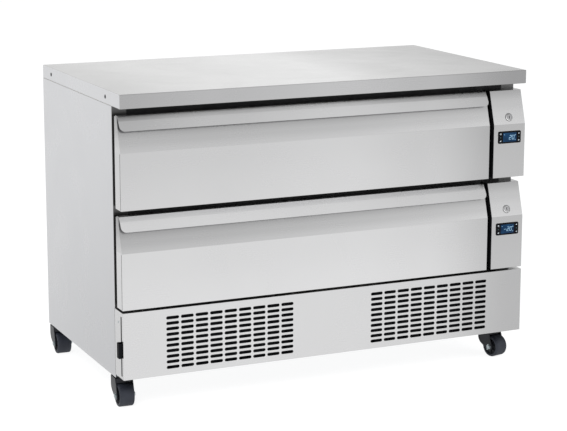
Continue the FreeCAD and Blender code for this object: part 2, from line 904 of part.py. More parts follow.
def air_filter():
    low, high = filter_span()
    y = front + filter_slot_back
    t = filter_thickness / 2
    x0 = -half_width
    x1 = half_width - right_field_end + filter_overrun
    f = filter_frame
    frame = box(x0, x1, y - t, y + t, low, high)
    bay = (x1 - x0 - f) / filter_ribs
    m = filter_mesh / 2
    for index in range(filter_ribs):
        bx0 = x0 + f + index * bay
        bx1 = bx0 + bay - f
        frame = frame.cut(box(bx0, bx1, y - t - 1, y - m, low + f, high - f))
        frame = frame.cut(box(bx0, bx1, y + m, y + t + 1, low + f, high - f))
    middle = (low + high) / 2 - tab_drop
    d, h = tab_depth / 2, tab_height / 2
    tab = box(x0 - tab_proud, x0, y - d, y + d, middle - h, middle + h)
    tab = round_edges(tab, V(0, 0, 1), tab_corner)
    return fused([frame, tab])


def castor_places():
    left = -half_width + castor_inset_left
    right = half_width - castor_inset_right
    ahead = front + castor_inset_front
    behind = back - castor_inset_back
    return {
        "front_left": (left, ahead, castor_turn_left_deg),
        "front_right": (right, ahead, castor_turn_right_deg),
        "back_left": (left, behind, castor_turn_left_deg),
        "back_right": (right, behind, castor_turn_right_deg),
    }


def castor_plate(x, y):
    w, d = castor_plate_x / 2, castor_plate_y / 2
    z = castor_height - castor_plate_sheet
    plate = round_edges(box(x - w, x + w, y - d, y + d, z, castor_height), V(0, 0, 1), 5.0)
    race = rod(V(x, y, z - raceway_height), V(0, 0, 1), raceway_radius, raceway_height)
    pin_low = z - raceway_height - raceway_gap - crown_height
    pin = rod(V(x, y, pin_low), V(0, 0, 1), kingpin_radius, castor_height - pin_low)
    return fused([plate, race, pin])


def castor_fork(x, y, turn):
    crown_top = castor_height - castor_plate_sheet - raceway_height - raceway_gap
    crown_low = crown_top - crown_height
    crown = rod(V(0, 0, crown_low), V(0, 0, 1), raceway_radius, crown_height)
    inner = wheel_width / 2 + leg_gap
    outer = inner + leg_thickness
    leg_top = crown_low + crown_height / 3
    bridge = box(-outer, outer, -raceway_radius * 0.6, leg_reach_back, crown_low, leg_top)
    web_back = -leg_reach_front + leg_thickness
    web = box(-outer, outer, -leg_reach_front, web_back, fork_web_low, leg_top)
    parts = [crown, bridge, web]
    r = leg_eye_radius
    for side in (-1, 1):
        x0, x1 = sorted((side * inner, side * outer))
        eye_y, eye_z = -wheel_trail, wheel_radius
        outline = [
            (-leg_reach_front, leg_top),
            (eye_y - r, eye_z + r * 0.5),
            (eye_y - r, eye_z - r * 0.4),
            (eye_y - r * 0.4, eye_z - r),
            (eye_y + r * 0.4, eye_z - r),
            (leg_reach_back - 10.0, leg_shoulder - 16.0),
            (leg_reach_back, leg_shoulder),
            (leg_reach_back, leg_top),
        ]
        parts.append(prism_along_x(outline, x0, x1))
        head_x = x1 if side > 0 else x0
        parts.append(rod(V(head_x, eye_y, eye_z), V(side, 0, 0), bolt_head_radius, bolt_head_height))
    parts.append(rod(V(-inner, -wheel_trail, wheel_radius), V(1, 0, 0), axle_radius, 2 * inner))
    bore = rod(V(0, 0, crown_low - 1), V(0, 0, 1), kingpin_radius + pin_play, crown_height + 2)
    fork = fused(parts).cut(bore)
    fork.rotate(V(0, 0, 0), V(0, 0, 1), turn)
    fork.translate(V(x, y, 0))
    return fork


def castor_wheel(x, y, turn):
    w, r, c = wheel_width / 2, wheel_radius, wheel_corner
    s = c * (1 - math.sqrt(0.5))
    deep = w - hub_recess
    bore = axle_radius + axle_play
    rim = r - rim_wall
    outline = [
        Part.LineSegment(V(-w, bore, 0), V(-w, hub_radius, 0)).toShape(),
        Part.LineSegment(V(-w, hub_radius, 0), V(-deep, hub_radius, 0)).toShape(),
        Part.LineSegment(V(-deep, hub_radius, 0), V(-deep, rim, 0)).toShape(),
        Part.LineSegment(V(-deep, rim, 0), V(-w, rim, 0)).toShape(),
        Part.LineSegment(V(-w, rim, 0), V(-w, r - c, 0)).toShape(),
        Part.Arc(V(-w, r - c, 0), V(-w + s, r - s, 0), V(-w + c, r, 0)).toShape(),
        Part.LineSegment(V(-w + c, r, 0), V(w - c, r, 0)).toShape(),
        Part.Arc(V(w - c, r, 0), V(w - s, r - s, 0), V(w, r - c, 0)).toShape(),
        Part.LineSegment(V(w, r - c, 0), V(w, rim, 0)).toShape(),
        Part.LineSegment(V(w, rim, 0), V(deep, rim, 0)).toShape(),
        Part.LineSegment(V(deep, rim, 0), V(deep, hub_radius, 0)).toShape(),
        Part.LineSegment(V(deep, hub_radius, 0), V(w, hub_radius, 0)).toShape(),
        Part.LineSegment(V(w, hub_radius, 0), V(w, bore, 0)).toShape(),
        Part.LineSegment(V(w, bore, 0), V(-w, bore, 0)).toShape(),
    ]
    wheel = Part.Face(Part.Wire(outline)).revolve(V(0, 0, 0), V(1, 0, 0), 360)
    wheel.translate(V(0, -wheel_trail, wheel_radius))
    wheel.rotate(V(0, 0, 0), V(0, 0, 1), turn)
    wheel.translate(V(x, y, 0))
    return wheel


def cable_inlet():
    z = floor_z + gland_rise
    along = V(0, 1, 0)
    start = back - sheet - gland_inside
    length = sheet + gland_inside + gland_outside
    body = rod(V(gland_x, start, z), along, gland_radius, length)
    inner_nut = rod(V(gland_x, back - sheet - gland_nut_height, z), along, gland_nut_radius, gland_nut_height)
    outer_nut = rod(V(gland_x, back, z), along, gland_nut_radius, gland_nut_height)
    bore = rod(V(gland_x, start - 1, z), along, gland_bore, length + 2)
    return fused([body, inner_nut, outer_nut]).cut(bore)


def build_cabinet():
    save("worktop", worktop())
    save("side_panel_left", side_panel(-1))
    save("side_panel_right", side_panel(1))
    save("back_panel", back_panel())
    save("base_plate", base_plate())
    save("front_frame", front_frame())
    save("insulation", insulation())
    save("liners", [liner(name) for name in drawers])
    save("control_panels", [control_panel(name) for name in drawers])
    save("panel_end_caps", [end_cap(name) for name in drawers])
    save("controllers", [controller(name) for name in drawers])
    save("display_windows", [display_window(name) for name in drawers])
    save("lock_housings", [lock_housing(name) for name in drawers])
    save("runner_rails", runner("upper", "rail") + runner("lower", "rail"))
    save("air_ducts", [air_duct(name) for name in drawers])
    save("evaporators", [evaporator(name) for name in drawers])
    save("grille_panel", grille_panel())
    save("air_filter", air_filter())
    save("cable_inlet", cable_inlet())


def build_machine():
    units = (left_unit_x, right_unit_x)
    save("condensers", [condenser(x) for x in units])
    save("condenser_shrouds", [shroud(x) for x in units])
    save("compressors", [compressor(x) for x in units])
    save("refrigerant_pipes", refrigerant_pipes())
    for side, unit_x in zip(("left", "right"), units):
        save("condenser_fan_" + side, fan_axis_along_y(rotor(condenser_fan_radius), *condenser_fan_place(unit_x)))
    for name in drawers:
        save("evaporator_fan_" + name, fan_axis_along_x(rotor(evaporator_fan_radius), *evaporator_fan_place(name)))


def build_drawers():
    for name in drawers:
        save("drawer_front_" + name, front_skin(name))
        save("drawer_core_" + name, front_core(name))
        save("handle_lip_" + name, handle_lip(name))
        save("gasket_" + name, gasket(name))
        save("drawer_tub_" + name, tub(name))
        save("drawer_slides_" + name, runner(name, "slide"))
        save("runner_middle_" + name, runner(name, "middle"))
        save("lock_plug_" + name, lock_plug(name))
        for label, (kx, kz) in key_places(name).items():
            save("key_" + name + "_" + label, key(kx, kz))


def build_castors():
    places = castor_places()
    save("castor_plates", [castor_plate(x, y) for x, y, turn in places.values()])
    for corner, (x, y, turn) in places.items():
        save("castor_fork_" + corner, castor_fork(x, y, turn))
        save("castor_wheel_" + corner, castor_wheel(x, y, turn))


os.makedirs("parts", exist_ok=True)
build_cabinet()
build_machine()
build_drawers()
build_castors()
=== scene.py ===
import json
import math

import bmesh
import bpy
from mathutils import Matrix, Vector


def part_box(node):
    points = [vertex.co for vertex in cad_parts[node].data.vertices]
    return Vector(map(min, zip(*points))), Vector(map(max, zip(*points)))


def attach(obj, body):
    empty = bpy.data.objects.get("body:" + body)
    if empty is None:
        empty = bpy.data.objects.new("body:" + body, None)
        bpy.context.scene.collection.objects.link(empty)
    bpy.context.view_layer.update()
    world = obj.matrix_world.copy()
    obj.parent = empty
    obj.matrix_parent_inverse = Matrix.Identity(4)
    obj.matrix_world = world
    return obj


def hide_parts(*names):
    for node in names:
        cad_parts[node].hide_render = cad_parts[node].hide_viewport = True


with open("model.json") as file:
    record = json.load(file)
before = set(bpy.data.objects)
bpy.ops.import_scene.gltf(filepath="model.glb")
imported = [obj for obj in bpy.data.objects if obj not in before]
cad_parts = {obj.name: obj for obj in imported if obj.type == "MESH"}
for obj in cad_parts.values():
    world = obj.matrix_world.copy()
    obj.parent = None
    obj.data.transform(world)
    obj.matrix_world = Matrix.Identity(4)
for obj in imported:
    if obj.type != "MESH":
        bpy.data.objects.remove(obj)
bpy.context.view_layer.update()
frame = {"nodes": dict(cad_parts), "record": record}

scene = bpy.context.scene
levels = ("upper", "lower")
corners = ("front_left", "front_right", "back_left", "back_right")
joints = {joint["name"]: joint for joint in frame["record"]["behaviour"]["joints"]}
print("counter: frame loaded,", len(frame["nodes"]), "nodes")


# small mesh tools, all in metres

def meshFrom(name, verts, faces, merge=0.0):
    mesh = bpy.data.meshes.new(name)
    mesh.from_pydata([tuple(v) for v in verts], [], faces)
    bm = bmesh.new()
    bm.from_mesh(mesh)
    bmesh.ops.remove_doubles(bm, verts=bm.verts if merge else [], dist=merge)
    bmesh.ops.recalc_face_normals(bm, faces=bm.faces)
    bm.to_mesh(mesh)
    bm.free()
    return mesh


def roundEdges(piece, width, segments=3, angle=30.0):
    bevel = piece.modifiers.new("rounded edges", "BEVEL")
    bevel.width = width
    bevel.segments = segments
    bevel.limit_method = "ANGLE"
    bevel.angle_limit = math.radians(angle)
    bevel.harden_normals = True


def newPiece(name, chunks, material, body, stands=(), smooth=True, merge=0.0):
    # chunks are meshes as (verts, faces), joined into one piece
    verts, faces = [], []
    for chunkVerts, chunkFaces in chunks:
        faces += [[i + len(verts) for i in face] for face in chunkFaces]
        verts += chunkVerts
    mesh = meshFrom(name, verts, faces, merge)
    mesh.materials.append(material)
    if smooth:
        mesh.shade_smooth()
    piece = bpy.data.objects.new(name, mesh)
    scene.collection.objects.link(piece)
    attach(piece, body)
    if stands:
        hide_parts(*stands)
    return piece


def prism(outline, low, high, along):
    # outline is in the two axes across the prism, taken in x, y, z order
    at = "xyz".index(along)
    n = len(outline)
    verts = [(*point[:at], end, *point[at:]) for end in (low, high) for point in outline]
    faces = [list(range(n)), list(range(2 * n - 1, n - 1, -1))]
    faces += [[i, (i + 1) % n, (i + 1) % n + n, i + n] for i in range(n)]
    return verts, faces


def boxMesh(corner, opposite):
    (x0, x1), (y0, y1), (z0, z1) = (sorted(pair) for pair in zip(corner, opposite))
    return prism([(x0, y0), (x1, y0), (x1, y1), (x0, y1)], z0, z1, "z")


def roundedRect(cx, cy, width, height, radius, steps=6):
    points = []
    for k, (sx, sy) in enumerate(((1, 1), (-1, 1), (-1, -1), (1, -1))):
        px = cx + sx * (width / 2 - radius)
        py = cy + sy * (height / 2 - radius)
        turns = [math.pi / 2 * k + a for a in quarterTurns(steps)]
        points += [(px + radius * math.cos(a), py + radius * math.sin(a)) for a in turns]
    return points


def quarterTurns(steps):
    return [math.pi / 2 * k / steps for k in range(steps + 1)]


def circle(cx, cy, radius, steps):
    turns = [2 * math.pi * i / steps for i in range(steps)]
    return [(cx + radius * math.cos(a), cy + radius * math.sin(a)) for a in turns]


def lathe(profile, steps=64, closed=True):
    # profile is (radius, height) about the z axis
    verts, faces = [], []
    rows = len(profile)
    for i in range(steps):
        a = 2 * math.pi * i / steps
        verts += [(r * math.cos(a), r * math.sin(a), h) for r, h in profile]
        j = (i + 1) % steps
        for k in range(rows if closed else rows - 1):
            m = (k + 1) % rows
            faces.append([i * rows + k, j * rows + k, j * rows + m, i * rows + m])
    return verts, faces


def moved(meshData, matrix):
    verts, faces = meshData
    return [matrix @ Vector(v) for v in verts], faces


def turnTo(axis, origin):
    # takes local z to the given axis
    turn = Vector((0, 0, 1)).rotation_difference(Vector(axis)).to_matrix().to_4x4()
    return Matrix.Translation(Vector(origin)) @ turn


def sideHeads(profile, left, right, y, z, steps=24):
    # a turned head on each side, pointing outwards
    head = lathe(profile, steps, False)
    return [moved(head, turnTo((side, 0, 0), (x, y, z))) for side, x in ((-1, left), (1, right))]


def boxOf(node):
    low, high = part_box(node)
    return Vector(low), Vector(high)


def middle(node):
    return sum(boxOf(node), Vector()) / 2


def jointPlace(name):
    return Vector(joints[name]["axis"]), Vector(joints[name]["pos_m"])


# shader tools; a setting in lower case is the node's own, one with a capital feeds the socket of that name

def feedInto(node, *feeds, **namedFeeds):
    # each feed is a value or another node's output
    pairs = list(zip(node.inputs, feeds))
    pairs += [(node.inputs[name.replace("_", " ")], feed) for name, feed in namedFeeds.items()]
    for socket, feed in pairs:
        if isinstance(feed, bpy.types.NodeSocket):
            node.id_data.links.new(feed, socket)
        else:
            socket.default_value = feed
    return node


def addNode(tree, kind, **settings):
    node = tree.nodes.new("ShaderNode" + kind)
    for name, value in settings.items():
        if name[0].islower():
            setattr(node, name, value)
        else:
            feedInto(node, **{name: value})
    return node


def mathOf(tree, operation, *feeds):
    return feedInto(addNode(tree, "Math", operation=operation), *feeds).outputs[0]


def mixColours(tree, factor, dark, light):
    mix = addNode(tree, "Mix", data_type="RGBA", Factor=factor, A=(*dark, 1), B=(*light, 1))
    return mix.outputs["Result"]


def mapRange(tree, value, fromLow, fromHigh, low=0.0, high=1.0, kind="LINEAR"):
    node = addNode(tree, "MapRange", interpolation_type=kind, Value=value, From_Min=fromLow, From_Max=fromHigh,
                   To_Min=low, To_Max=high)
    return node.outputs["Result"]


def spread(tree, noise, low=0.0, high=1.0):
    # takes the middle of a noise to a wider range
    return mapRange(tree, noise, 0.3, 0.7, low, high)


def toneSteps(tree, place, stops, tones):
    # a tone that glides from one level to the next between neighbouring stops
    tone = tones[0]
    for before, after, following in zip(stops, stops[1:], tones[1:]):
        glide = mapRange(tree, place, before, after, kind="SMOOTHSTEP")
        tone = addNode(tree, "Mix", Factor=glide, A=tone, B=following).outputs["Result"]
    return tone


def overObject(tree):
    return addNode(tree, "TexCoord").outputs["Object"]


def bumpFrom(tree, height, strength, distance):
    return addNode(tree, "Bump", Height=height, Strength=strength, Distance=distance).outputs["Normal"]


# shader groups shared by several materials

def startGroup(name, inputs):
    group = bpy.data.node_groups.new(name, "ShaderNodeTree")
    for socketName, value in inputs.items():
        kind = "NodeSocketVector" if isinstance(value, tuple) else "NodeSocketFloat"
        group.interface.new_socket(name=socketName, in_out="INPUT", socket_type=kind).default_value = value
    return group, group.nodes.new("NodeGroupInput").outputs


def endGroup(group, **results):
    for name in results:
        group.interface.new_socket(name=name, in_out="OUTPUT", socket_type="NodeSocketFloat")
    feedInto(group.nodes.new("NodeGroupOutput"), **results)
    return group


def brushedGrainGroup():
    # long fine scratches along one axis, plus a slow drift of tone
    group, given = startGroup("brushed grain", {"Stretch": (6.0, 900.0, 900.0), "Drift Scale": 2.2})
    place = overObject(group)
    stretched = feedInto(addNode(group, "VectorMath", operation="MULTIPLY"), place, given["Stretch"])
    scratches = addNode(group, "TexNoise", Vector=stretched.outputs[0], Scale=1.0, Detail=4.0, Roughness=0.65)
    drift = addNode(group, "TexNoise", Vector=place, Scale=given["Drift Scale"], Detail=2.0)
    return endGroup(group, Grain=scratches.outputs["Fac"], Drift=drift.outputs["Fac"])


def handlingGroup():
    # cloudy wipe marks and sparse specks of dust
    group, given = startGroup("handling marks", {"Smear Scale": 9.0, "Speck Scale": 240.0})
    place = overObject(group)
    smears = addNode(group, "TexNoise", Vector=place, Scale=given["Smear Scale"], Detail=5.0, Distortion=0.6)
    specks = addNode(group, "TexVoronoi", Vector=place, Scale=given["Speck Scale"])
    near = mapRange(group, specks.outputs["Distance"], 0.12, 0.02)
    return endGroup(group, Smears=smears.outputs["Fac"], Specks=near)


def mouldedGroup():
    # the fine leathery skin of moulded plastic and powder coat
    group, given = startGroup("moulded skin", {"Cell Scale": 1400.0})
    place = overObject(group)
    cells = addNode(group, "TexVoronoi", feature="SMOOTH_F1", Vector=place, Scale=given["Cell Scale"])
    tone = addNode(group, "TexNoise", Vector=place, Scale=30.0, Detail=4.0)
    return endGroup(group, Height=cells.outputs["Distance"], Tone=tone.outputs["Fac"])


# where the painted shade and light of the sheets changes, across the counter and up one drawer
shadeLook = dict(across=(-0.64, -0.36, 0.04, 0.30, 0.62), rise=(0.1609, 0.19, 0.22, 0.262), flatTop=0.1607,
                 start=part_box("drawer_front_lower")[0][2], next=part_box("drawer_front_upper")[0][2])
acrossNames = ("Far Left", "Left", "Middle", "Right", "Far Right")
flatNames = ("Flat Foot", "Flat Top")
riseNames = ("Slope Foot", "Slope Low", "Slope High", "Slope Top")
leanNames = ("Slope Left", "Slope Right")


def sheetShadeGroup(sloped):
    # broad soft shade and light painted into the colour across the counter, and for the fronts also up each
    # drawer with its slope
    look = shadeLook
    names = acrossNames + (flatNames + riseNames + leanNames if sloped else ())
    group, given = startGroup("front shade" if sloped else "sheet shade", dict.fromkeys(names, 1.0))

    def shading(place, stops, socketNames):
        return toneSteps(group, place, stops, [given[name] for name in socketNames])

    axes = addNode(group, "SeparateXYZ", Vector=overObject(group)).outputs
    tone = shading(axes["X"], look["across"], acrossNames)
    if sloped:
        fold = look["start"] + look["flatTop"]
        row = mathOf(group, "WRAP", axes["Z"], look["next"], look["start"])
        flat = shading(row, (look["start"], fold), flatNames)
        slope = shading(row, [look["start"] + z for z in look["rise"]], riseNames)
        lean = shading(axes["X"], (look["across"][0], look["across"][-1]), leanNames)
        onSlope = mathOf(group, "GREATER_THAN", row, fold)
        flatTone = mathOf(group, "MULTIPLY", flat, tone)
        slopeTone = mathOf(group, "MULTIPLY", slope, lean)
        tone = addNode(group, "Mix", Factor=onSlope, A=flatTone, B=slopeTone).outputs["Result"]
    return endGroup(group, Tone=tone)


brushedGrain = brushedGrainGroup()
handlingMarks = handlingGroup()
mouldedSkin = mouldedGroup()
sheetShade = sheetShadeGroup(False)
frontShade = sheetShadeGroup(True)


# materials

def blankMaterial(name):
    material = bpy.data.materials.new(name)
    material.use_nodes = True
    return material, material.node_tree, material.node_tree.nodes["Principled BSDF"]


def placeGroup(tree, group, **values):
    return addNode(tree, "Group", node_tree=group, **values).outputs


steelBase = dict(grainTone=0.06, driftTone=(0.1, 0.8), grainRough=0.01, smearRough=(-0.02, 0.03),
                 smearScale=7.0, bumpDepth=0.0002)
plasticBase = dict(smearRough=0.06, smearScale=14.0, bumpDepth=0.0003, specular=0.25)


def steelMaterial(name, look):
    look = {**steelBase, **look}
    material, tree, shader = blankMaterial(name)
    grain = placeGroup(tree, brushedGrain, Stretch=look["stretch"], Drift_Scale=look["drift"])
    marks = placeGroup(tree, handlingMarks, Smear_Scale=look["smearScale"])
    drift = spread(tree, grain["Drift"], *look["driftTone"])
    tone = mathOf(tree, "MULTIPLY_ADD", grain["Grain"], look["grainTone"], drift)
    colour = mixColours(tree, tone, look["dark"], look["light"])
    # painted shade and light: tones across the counter and, on the fronts, up each drawer scale the colour
    if "across" in look:
        values = dict(zip(acrossNames, look["across"]))
        if "rise" in look:
            values.update(zip(flatNames + riseNames + leanNames, look["flat"] + look["rise"] + look["lean"]))
        shade = placeGroup(tree, frontShade if "rise" in look else sheetShade, **values)
        shaded = addNode(tree, "VectorMath", operation="SCALE", Vector=colour, Scale=shade["Tone"])
        colour = shaded.outputs[0]
    rough, vary = look["rough"], look["grainRough"]
    grainRough = spread(tree, grain["Grain"], rough - vary, rough + vary)
    smearRough = spread(tree, marks["Smears"], *look["smearRough"])
    feedInto(shader, Base_Color=colour, Roughness=mathOf(tree, "ADD", grainRough, smearRough), Metallic=1.0)
    if look["bump"]:
        feedInto(shader, Normal=bumpFrom(tree, grain["Grain"], look["bump"], look["bumpDepth"]))
    return material


def plasticMaterial(name, look):
    look = {**plasticBase, **look}
    material, tree, shader = blankMaterial(name)
    skin = placeGroup(tree, mouldedSkin, Cell_Scale=look["cells"])
    marks = placeGroup(tree, handlingMarks, Smear_Scale=look["smearScale"])
    colour = mixColours(tree, spread(tree, skin["Tone"]), look["dark"], look["light"])
    rough, vary = look["rough"], look["smearRough"]
    rough = spread(tree, marks["Smears"], rough - vary, rough + vary)
    relief = bumpFrom(tree, skin["Height"], look["bump"], look["bumpDepth"])
    feedInto(shader, Base_Color=colour, Roughness=rough, Specular_IOR_Level=look["specular"], Normal=relief)
    return material


def zincMaterial():
    # galvanised sheet: crystal spangles that take the light differently
    material, tree, shader = blankMaterial("zinc spangle")
    spangle = addNode(tree, "TexVoronoi", Vector=overObject(tree), Scale=90.0).outputs
    colour = mixColours(tree, spangle["Color"], (0.33, 0.35, 0.37), (0.55, 0.57, 0.59))
    rough = spread(tree, placeGroup(tree, handlingMarks)["Smears"], 0.38, 0.55)
    relief = bumpFrom(tree, spangle["Distance"], 0.05, 0.0003)
    feedInto(shader, Base_Color=colour, Roughness=rough, Metallic=0.9, Normal=relief)
    return material


def foamMaterial():
    material, tree, shader = blankMaterial("foam insulation")
    bubbles = addNode(tree, "TexVoronoi", Vector=overObject(tree), Scale=500.0).outputs["Distance"]
    colour = mixColours(tree, bubbles, (0.86, 0.76, 0.48), (0.93, 0.87, 0.66))
    feedInto(shader, Base_Color=colour, Roughness=0.85, Normal=bumpFrom(tree, bubbles, 0.4, 0.0006))
    return material


def filterMaterial():
    # woven plastic mesh: a fine square grid of holes
    material, tree, shader = blankMaterial("filter mesh")
    turn = addNode(tree, "Mapping", Vector=overObject(tree), Rotation=(math.pi / 2, 0, 0))
    weave = addNode(tree, "TexBrick", offset=0.0, Vector=turn.outputs["Vector"], Scale=420.0, Mortar_Size=0.12,
                    Brick_Width=1.0, Row_Height=1.0, Color1=(0.002, 0.002, 0.002, 1),
                    Color2=(0.004, 0.004, 0.004, 1), Mortar=(0.010, 0.012, 0.016, 1)).outputs
    rough = spread(tree, placeGroup(tree, handlingMarks)["Specks"], 0.55, 0.85)
    relief = bumpFrom(tree, weave["Fac"], 0.5, 0.0004)
    feedInto(shader, Base_Color=weave["Color"], Roughness=rough, Specular_IOR_Level=0.08, Normal=relief)
    return material


def screenMaterial():
    # deep blue liquid crystal behind a glossy face, brighter where the backlight sits
    material, tree, shader = blankMaterial("blue screen")
    haze = addNode(tree, "TexNoise", Vector=overObject(tree), Scale=40.0, Detail=2.0).outputs["Fac"]
    colour = mixColours(tree, spread(tree, haze), (0.004, 0.016, 0.042), (0.008, 0.040, 0.095))
    feedInto(shader, Base_Color=colour, Emission_Color=colour, Emission_Strength=0.30, Roughness=0.12,
             Specular_IOR_Level=0.08)
    return material


def glowMaterial(name, colour, strength):
    # print and lamps, with a little smear in their light; on the key icons the glow is painted light on print
    material, tree, shader = blankMaterial(name)
    smears = placeGroup(tree, handlingMarks, Smear_Scale=160.0)["Smears"]
    tint = mixColours(tree, spread(tree, smears), [c * 0.85 for c in colour], colour)
    feedInto(shader, Base_Color=tint, Emission_Color=tint, Emission_Strength=strength, Roughness=0.3)
    return material


def looksFrom(keys, rows):
    return {name: dict(zip(keys.split(), row)) for name, row in rows.items()}


alongX, alongZ, turned = (6.0, 1800.0, 1800.0), (1800.0, 1800.0, 6.0), (200.0, 900.0, 900.0)
# darkest and lightest colour, roughness, relief, stretch and drift of the grain, painted shade and light across
# the counter
steelLooks = looksFrom("dark light rough bump stretch drift across", {
    "front": ((0.715, 0.715, 0.72), (0.755, 0.755, 0.76), 0.26, 0.0, alongX, 1.6),
    "side": ((0.685, 0.69, 0.705), (0.72, 0.725, 0.74), 0.28, 0.0, alongZ, 1.3),
    # the worktop's top and front edge carry painted shade and light across the counter; the front edge is the
    # worktop's own steel painted darker, as shade
    "top": ((0.72, 0.72, 0.72), (0.755, 0.755, 0.75), 0.22, 0.0, alongX, 1.8, (0.73, 0.91, 0.98, 0.76, 0.60)),
    "edge": ((0.47, 0.47, 0.475), (0.52, 0.52, 0.525), 0.26, 0.0, alongX, 1.4, (0.93, 1.10, 1.26, 1.10, 0.78)),
    # near black steel for the side panels' front stiles: painted shade of the gaps under the worktop and
    # between the drawers
    "stile": ((0.10, 0.10, 0.10), (0.16, 0.16, 0.16), 0.34, 0.006, alongZ, 6.0),
    "inner": ((0.50, 0.51, 0.52), (0.60, 0.61, 0.62), 0.26, 0.03, (30.0, 700.0, 700.0), 4.0),
    "chrome": ((0.93, 0.93, 0.94), (0.98, 0.98, 0.98), 0.10, 0.01, turned, 30.0),
    "plug": ((0.55, 0.55, 0.56), (0.68, 0.68, 0.69), 0.18, 0.02, turned, 40.0),
    "bolt": ((0.30, 0.345, 0.355), (0.56, 0.62, 0.64), 0.30, 0.04, (300.0, 300.0, 300.0), 60.0),
    "fins": ((0.55, 0.57, 0.60), (0.75, 0.76, 0.78), 0.35, 0.05, (400.0, 400.0, 40.0), 20.0),
    "copper": ((0.45, 0.20, 0.11), (0.80, 0.42, 0.27), 0.30, 0.03, (200.0, 200.0, 200.0), 12.0),
})
# the front's steel with painted shade and light across the counter, up the flat, up the slope and across the
# slope; the slopes are painted darker towards the lip above them, and each drawer, lip, the control column and
# the grille panel gets its own painted copy
frontSteel = steelLooks.pop("front")
frontShades = looksFrom("across flat rise lean", {
    "front_upper": ((0.95, 0.975, 1.03, 0.93, 0.64), (1.0, 0.94), (1.02, 0.89, 0.70, 0.58), (0.90, 1.05)),
    "front_lower": ((1.07, 1.08, 1.09, 1.04, 0.74), (1.0, 0.95), (1.02, 0.88, 0.69, 0.57), (0.88, 1.05)),
    "column": ((0.75, 0.75, 0.75, 0.75, 0.75), (1.03, 0.97), (1.09, 1.03, 0.93, 0.70), (1.0, 1.0)),
    "lip_upper": ((0.79, 0.95, 1.10, 1.0, 0.82),),
    "lip_lower": ((1.14, 1.17, 1.15, 1.06, 0.92),),
    "panel": ((1.05, 1.05, 1.01, 0.96, 0.70),),
})
steelLooks.update({name: {**frontSteel, **shade} for name, shade in frontShades.items()})
# darkest and lightest colour, roughness, relief, fineness of the skin, gloss
plasticLooks = looksFrom("dark light rough bump cells specular", {
    "matte black": ((0.004, 0.004, 0.005), (0.009, 0.009, 0.010), 0.55, 0.15, 1300.0, 0.12),
    "frame black": ((0.022, 0.022, 0.023), (0.038, 0.038, 0.040), 0.55, 0.10, 900.0),
    "gloss black": ((0.004, 0.004, 0.005), (0.007, 0.007, 0.009), 0.16, 0.01, 300.0, 0.06),
    "gasket rubber": ((0.003, 0.003, 0.003), (0.007, 0.007, 0.007), 0.65, 0.10, 900.0, 0.1),
    "castor enamel": ((0.005, 0.006, 0.008), (0.012, 0.013, 0.018), 0.32, 0.10, 800.0, 0.28),
    "wheel core": ((0.004, 0.005, 0.007), (0.010, 0.011, 0.014), 0.42, 0.12, 1100.0),
    "tread rubber": ((0.017, 0.019, 0.027), (0.032, 0.036, 0.047), 0.50, 0.20, 1600.0),
    "white duct": ((0.66, 0.67, 0.67), (0.78, 0.79, 0.79), 0.45, 0.10, 900.0),
    "compressor enamel": ((0.008, 0.008, 0.009), (0.020, 0.020, 0.021), 0.30, 0.10, 260.0),
    "dark screw": ((0.006, 0.006, 0.008), (0.020, 0.021, 0.024), 0.40, 0.10, 2000.0),
})
steel = {name: steelMaterial("steel " + name, look) for name, look in steelLooks.items()}
plastic = {name: plasticMaterial(name, look) for name, look in plasticLooks.items()}
zincSpangle = zincMaterial()
foamInsulation = foamMaterial()
filterMesh = filterMaterial()
blueScreen = screenMaterial()
digitGlow = glowMaterial("digit glow", (0.30, 0.50, 0.66), 0.42)
# the key icons are print; their glow is painted light
iconGlow = glowMaterial("icon print painted glow", (0.72, 0.80, 0.85), 0.35)
lampGreen = glowMaterial("status lamp", (0.03, 0.08, 0.08), 0.12)
print("counter: materials ready")

# what each CAD piece is made of, by how its name starts
nodeFinish = (
    (steel["top"], "worktop"), (steel["side"], "side_panel"), (steel["inner"], "liners drawer_tub"),
    (steel["column"], "control_panels"), (steel["chrome"], "lock_housings"), (steel["plug"], "lock_plug"),
    (steel["fins"], "evaporators condensers"), (steel["panel"], "grille_panel"),
    (steel["copper"], "refrigerant_pipes"), (steel["front_upper"], "drawer_front"),
    (steel["lip_upper"], "handle_lip"), (foamInsulation, "insulation drawer_core"), (filterMesh, "air_filter"),
    (zincSpangle, "back_panel base_plate runner condenser_shrouds drawer_slides"),
    (blueScreen, "display_windows"),
    (plastic["matte black"], "panel_end_caps cable_inlet condenser_fan evaporator_fan"),
    (plastic["frame black"], "front_frame"), (plastic["gloss black"], "controllers key"),
    (plastic["gasket rubber"], "gasket"), (plastic["white duct"], "air_ducts"),
    (plastic["compressor enamel"], "compressors"), (plastic["castor enamel"], "castor_plates castor_fork"),
    (plastic["tread rubber"], "castor_wheel"),
)


def dressNodes():
    starts = {start: material for material, names in nodeFinish for start in names.split()}
    for name, node in frame["nodes"].items():
        material = starts[max((start for start in starts if name.startswith(start)), key=len)]
        if not node.material_slots:
            node.data.materials.append(material)
        for slot in node.material_slots:
            slot.material = material


# worktop; a profile here and below is (radius, height)

worktopLook = dict(
    edgeRadius=0.0022, sheet=0.0015, returnWidth=0.015556,
    screwFromFront=0.118, screwFromBack=0.084, screwDrop=0.020,
    screw=((0.0001, 0.0010), (0.0030, 0.00092), (0.0051, 0.0006), (0.0060, 0.0), (0.0054, -0.0008),
           (0.0001, -0.0008)),
)


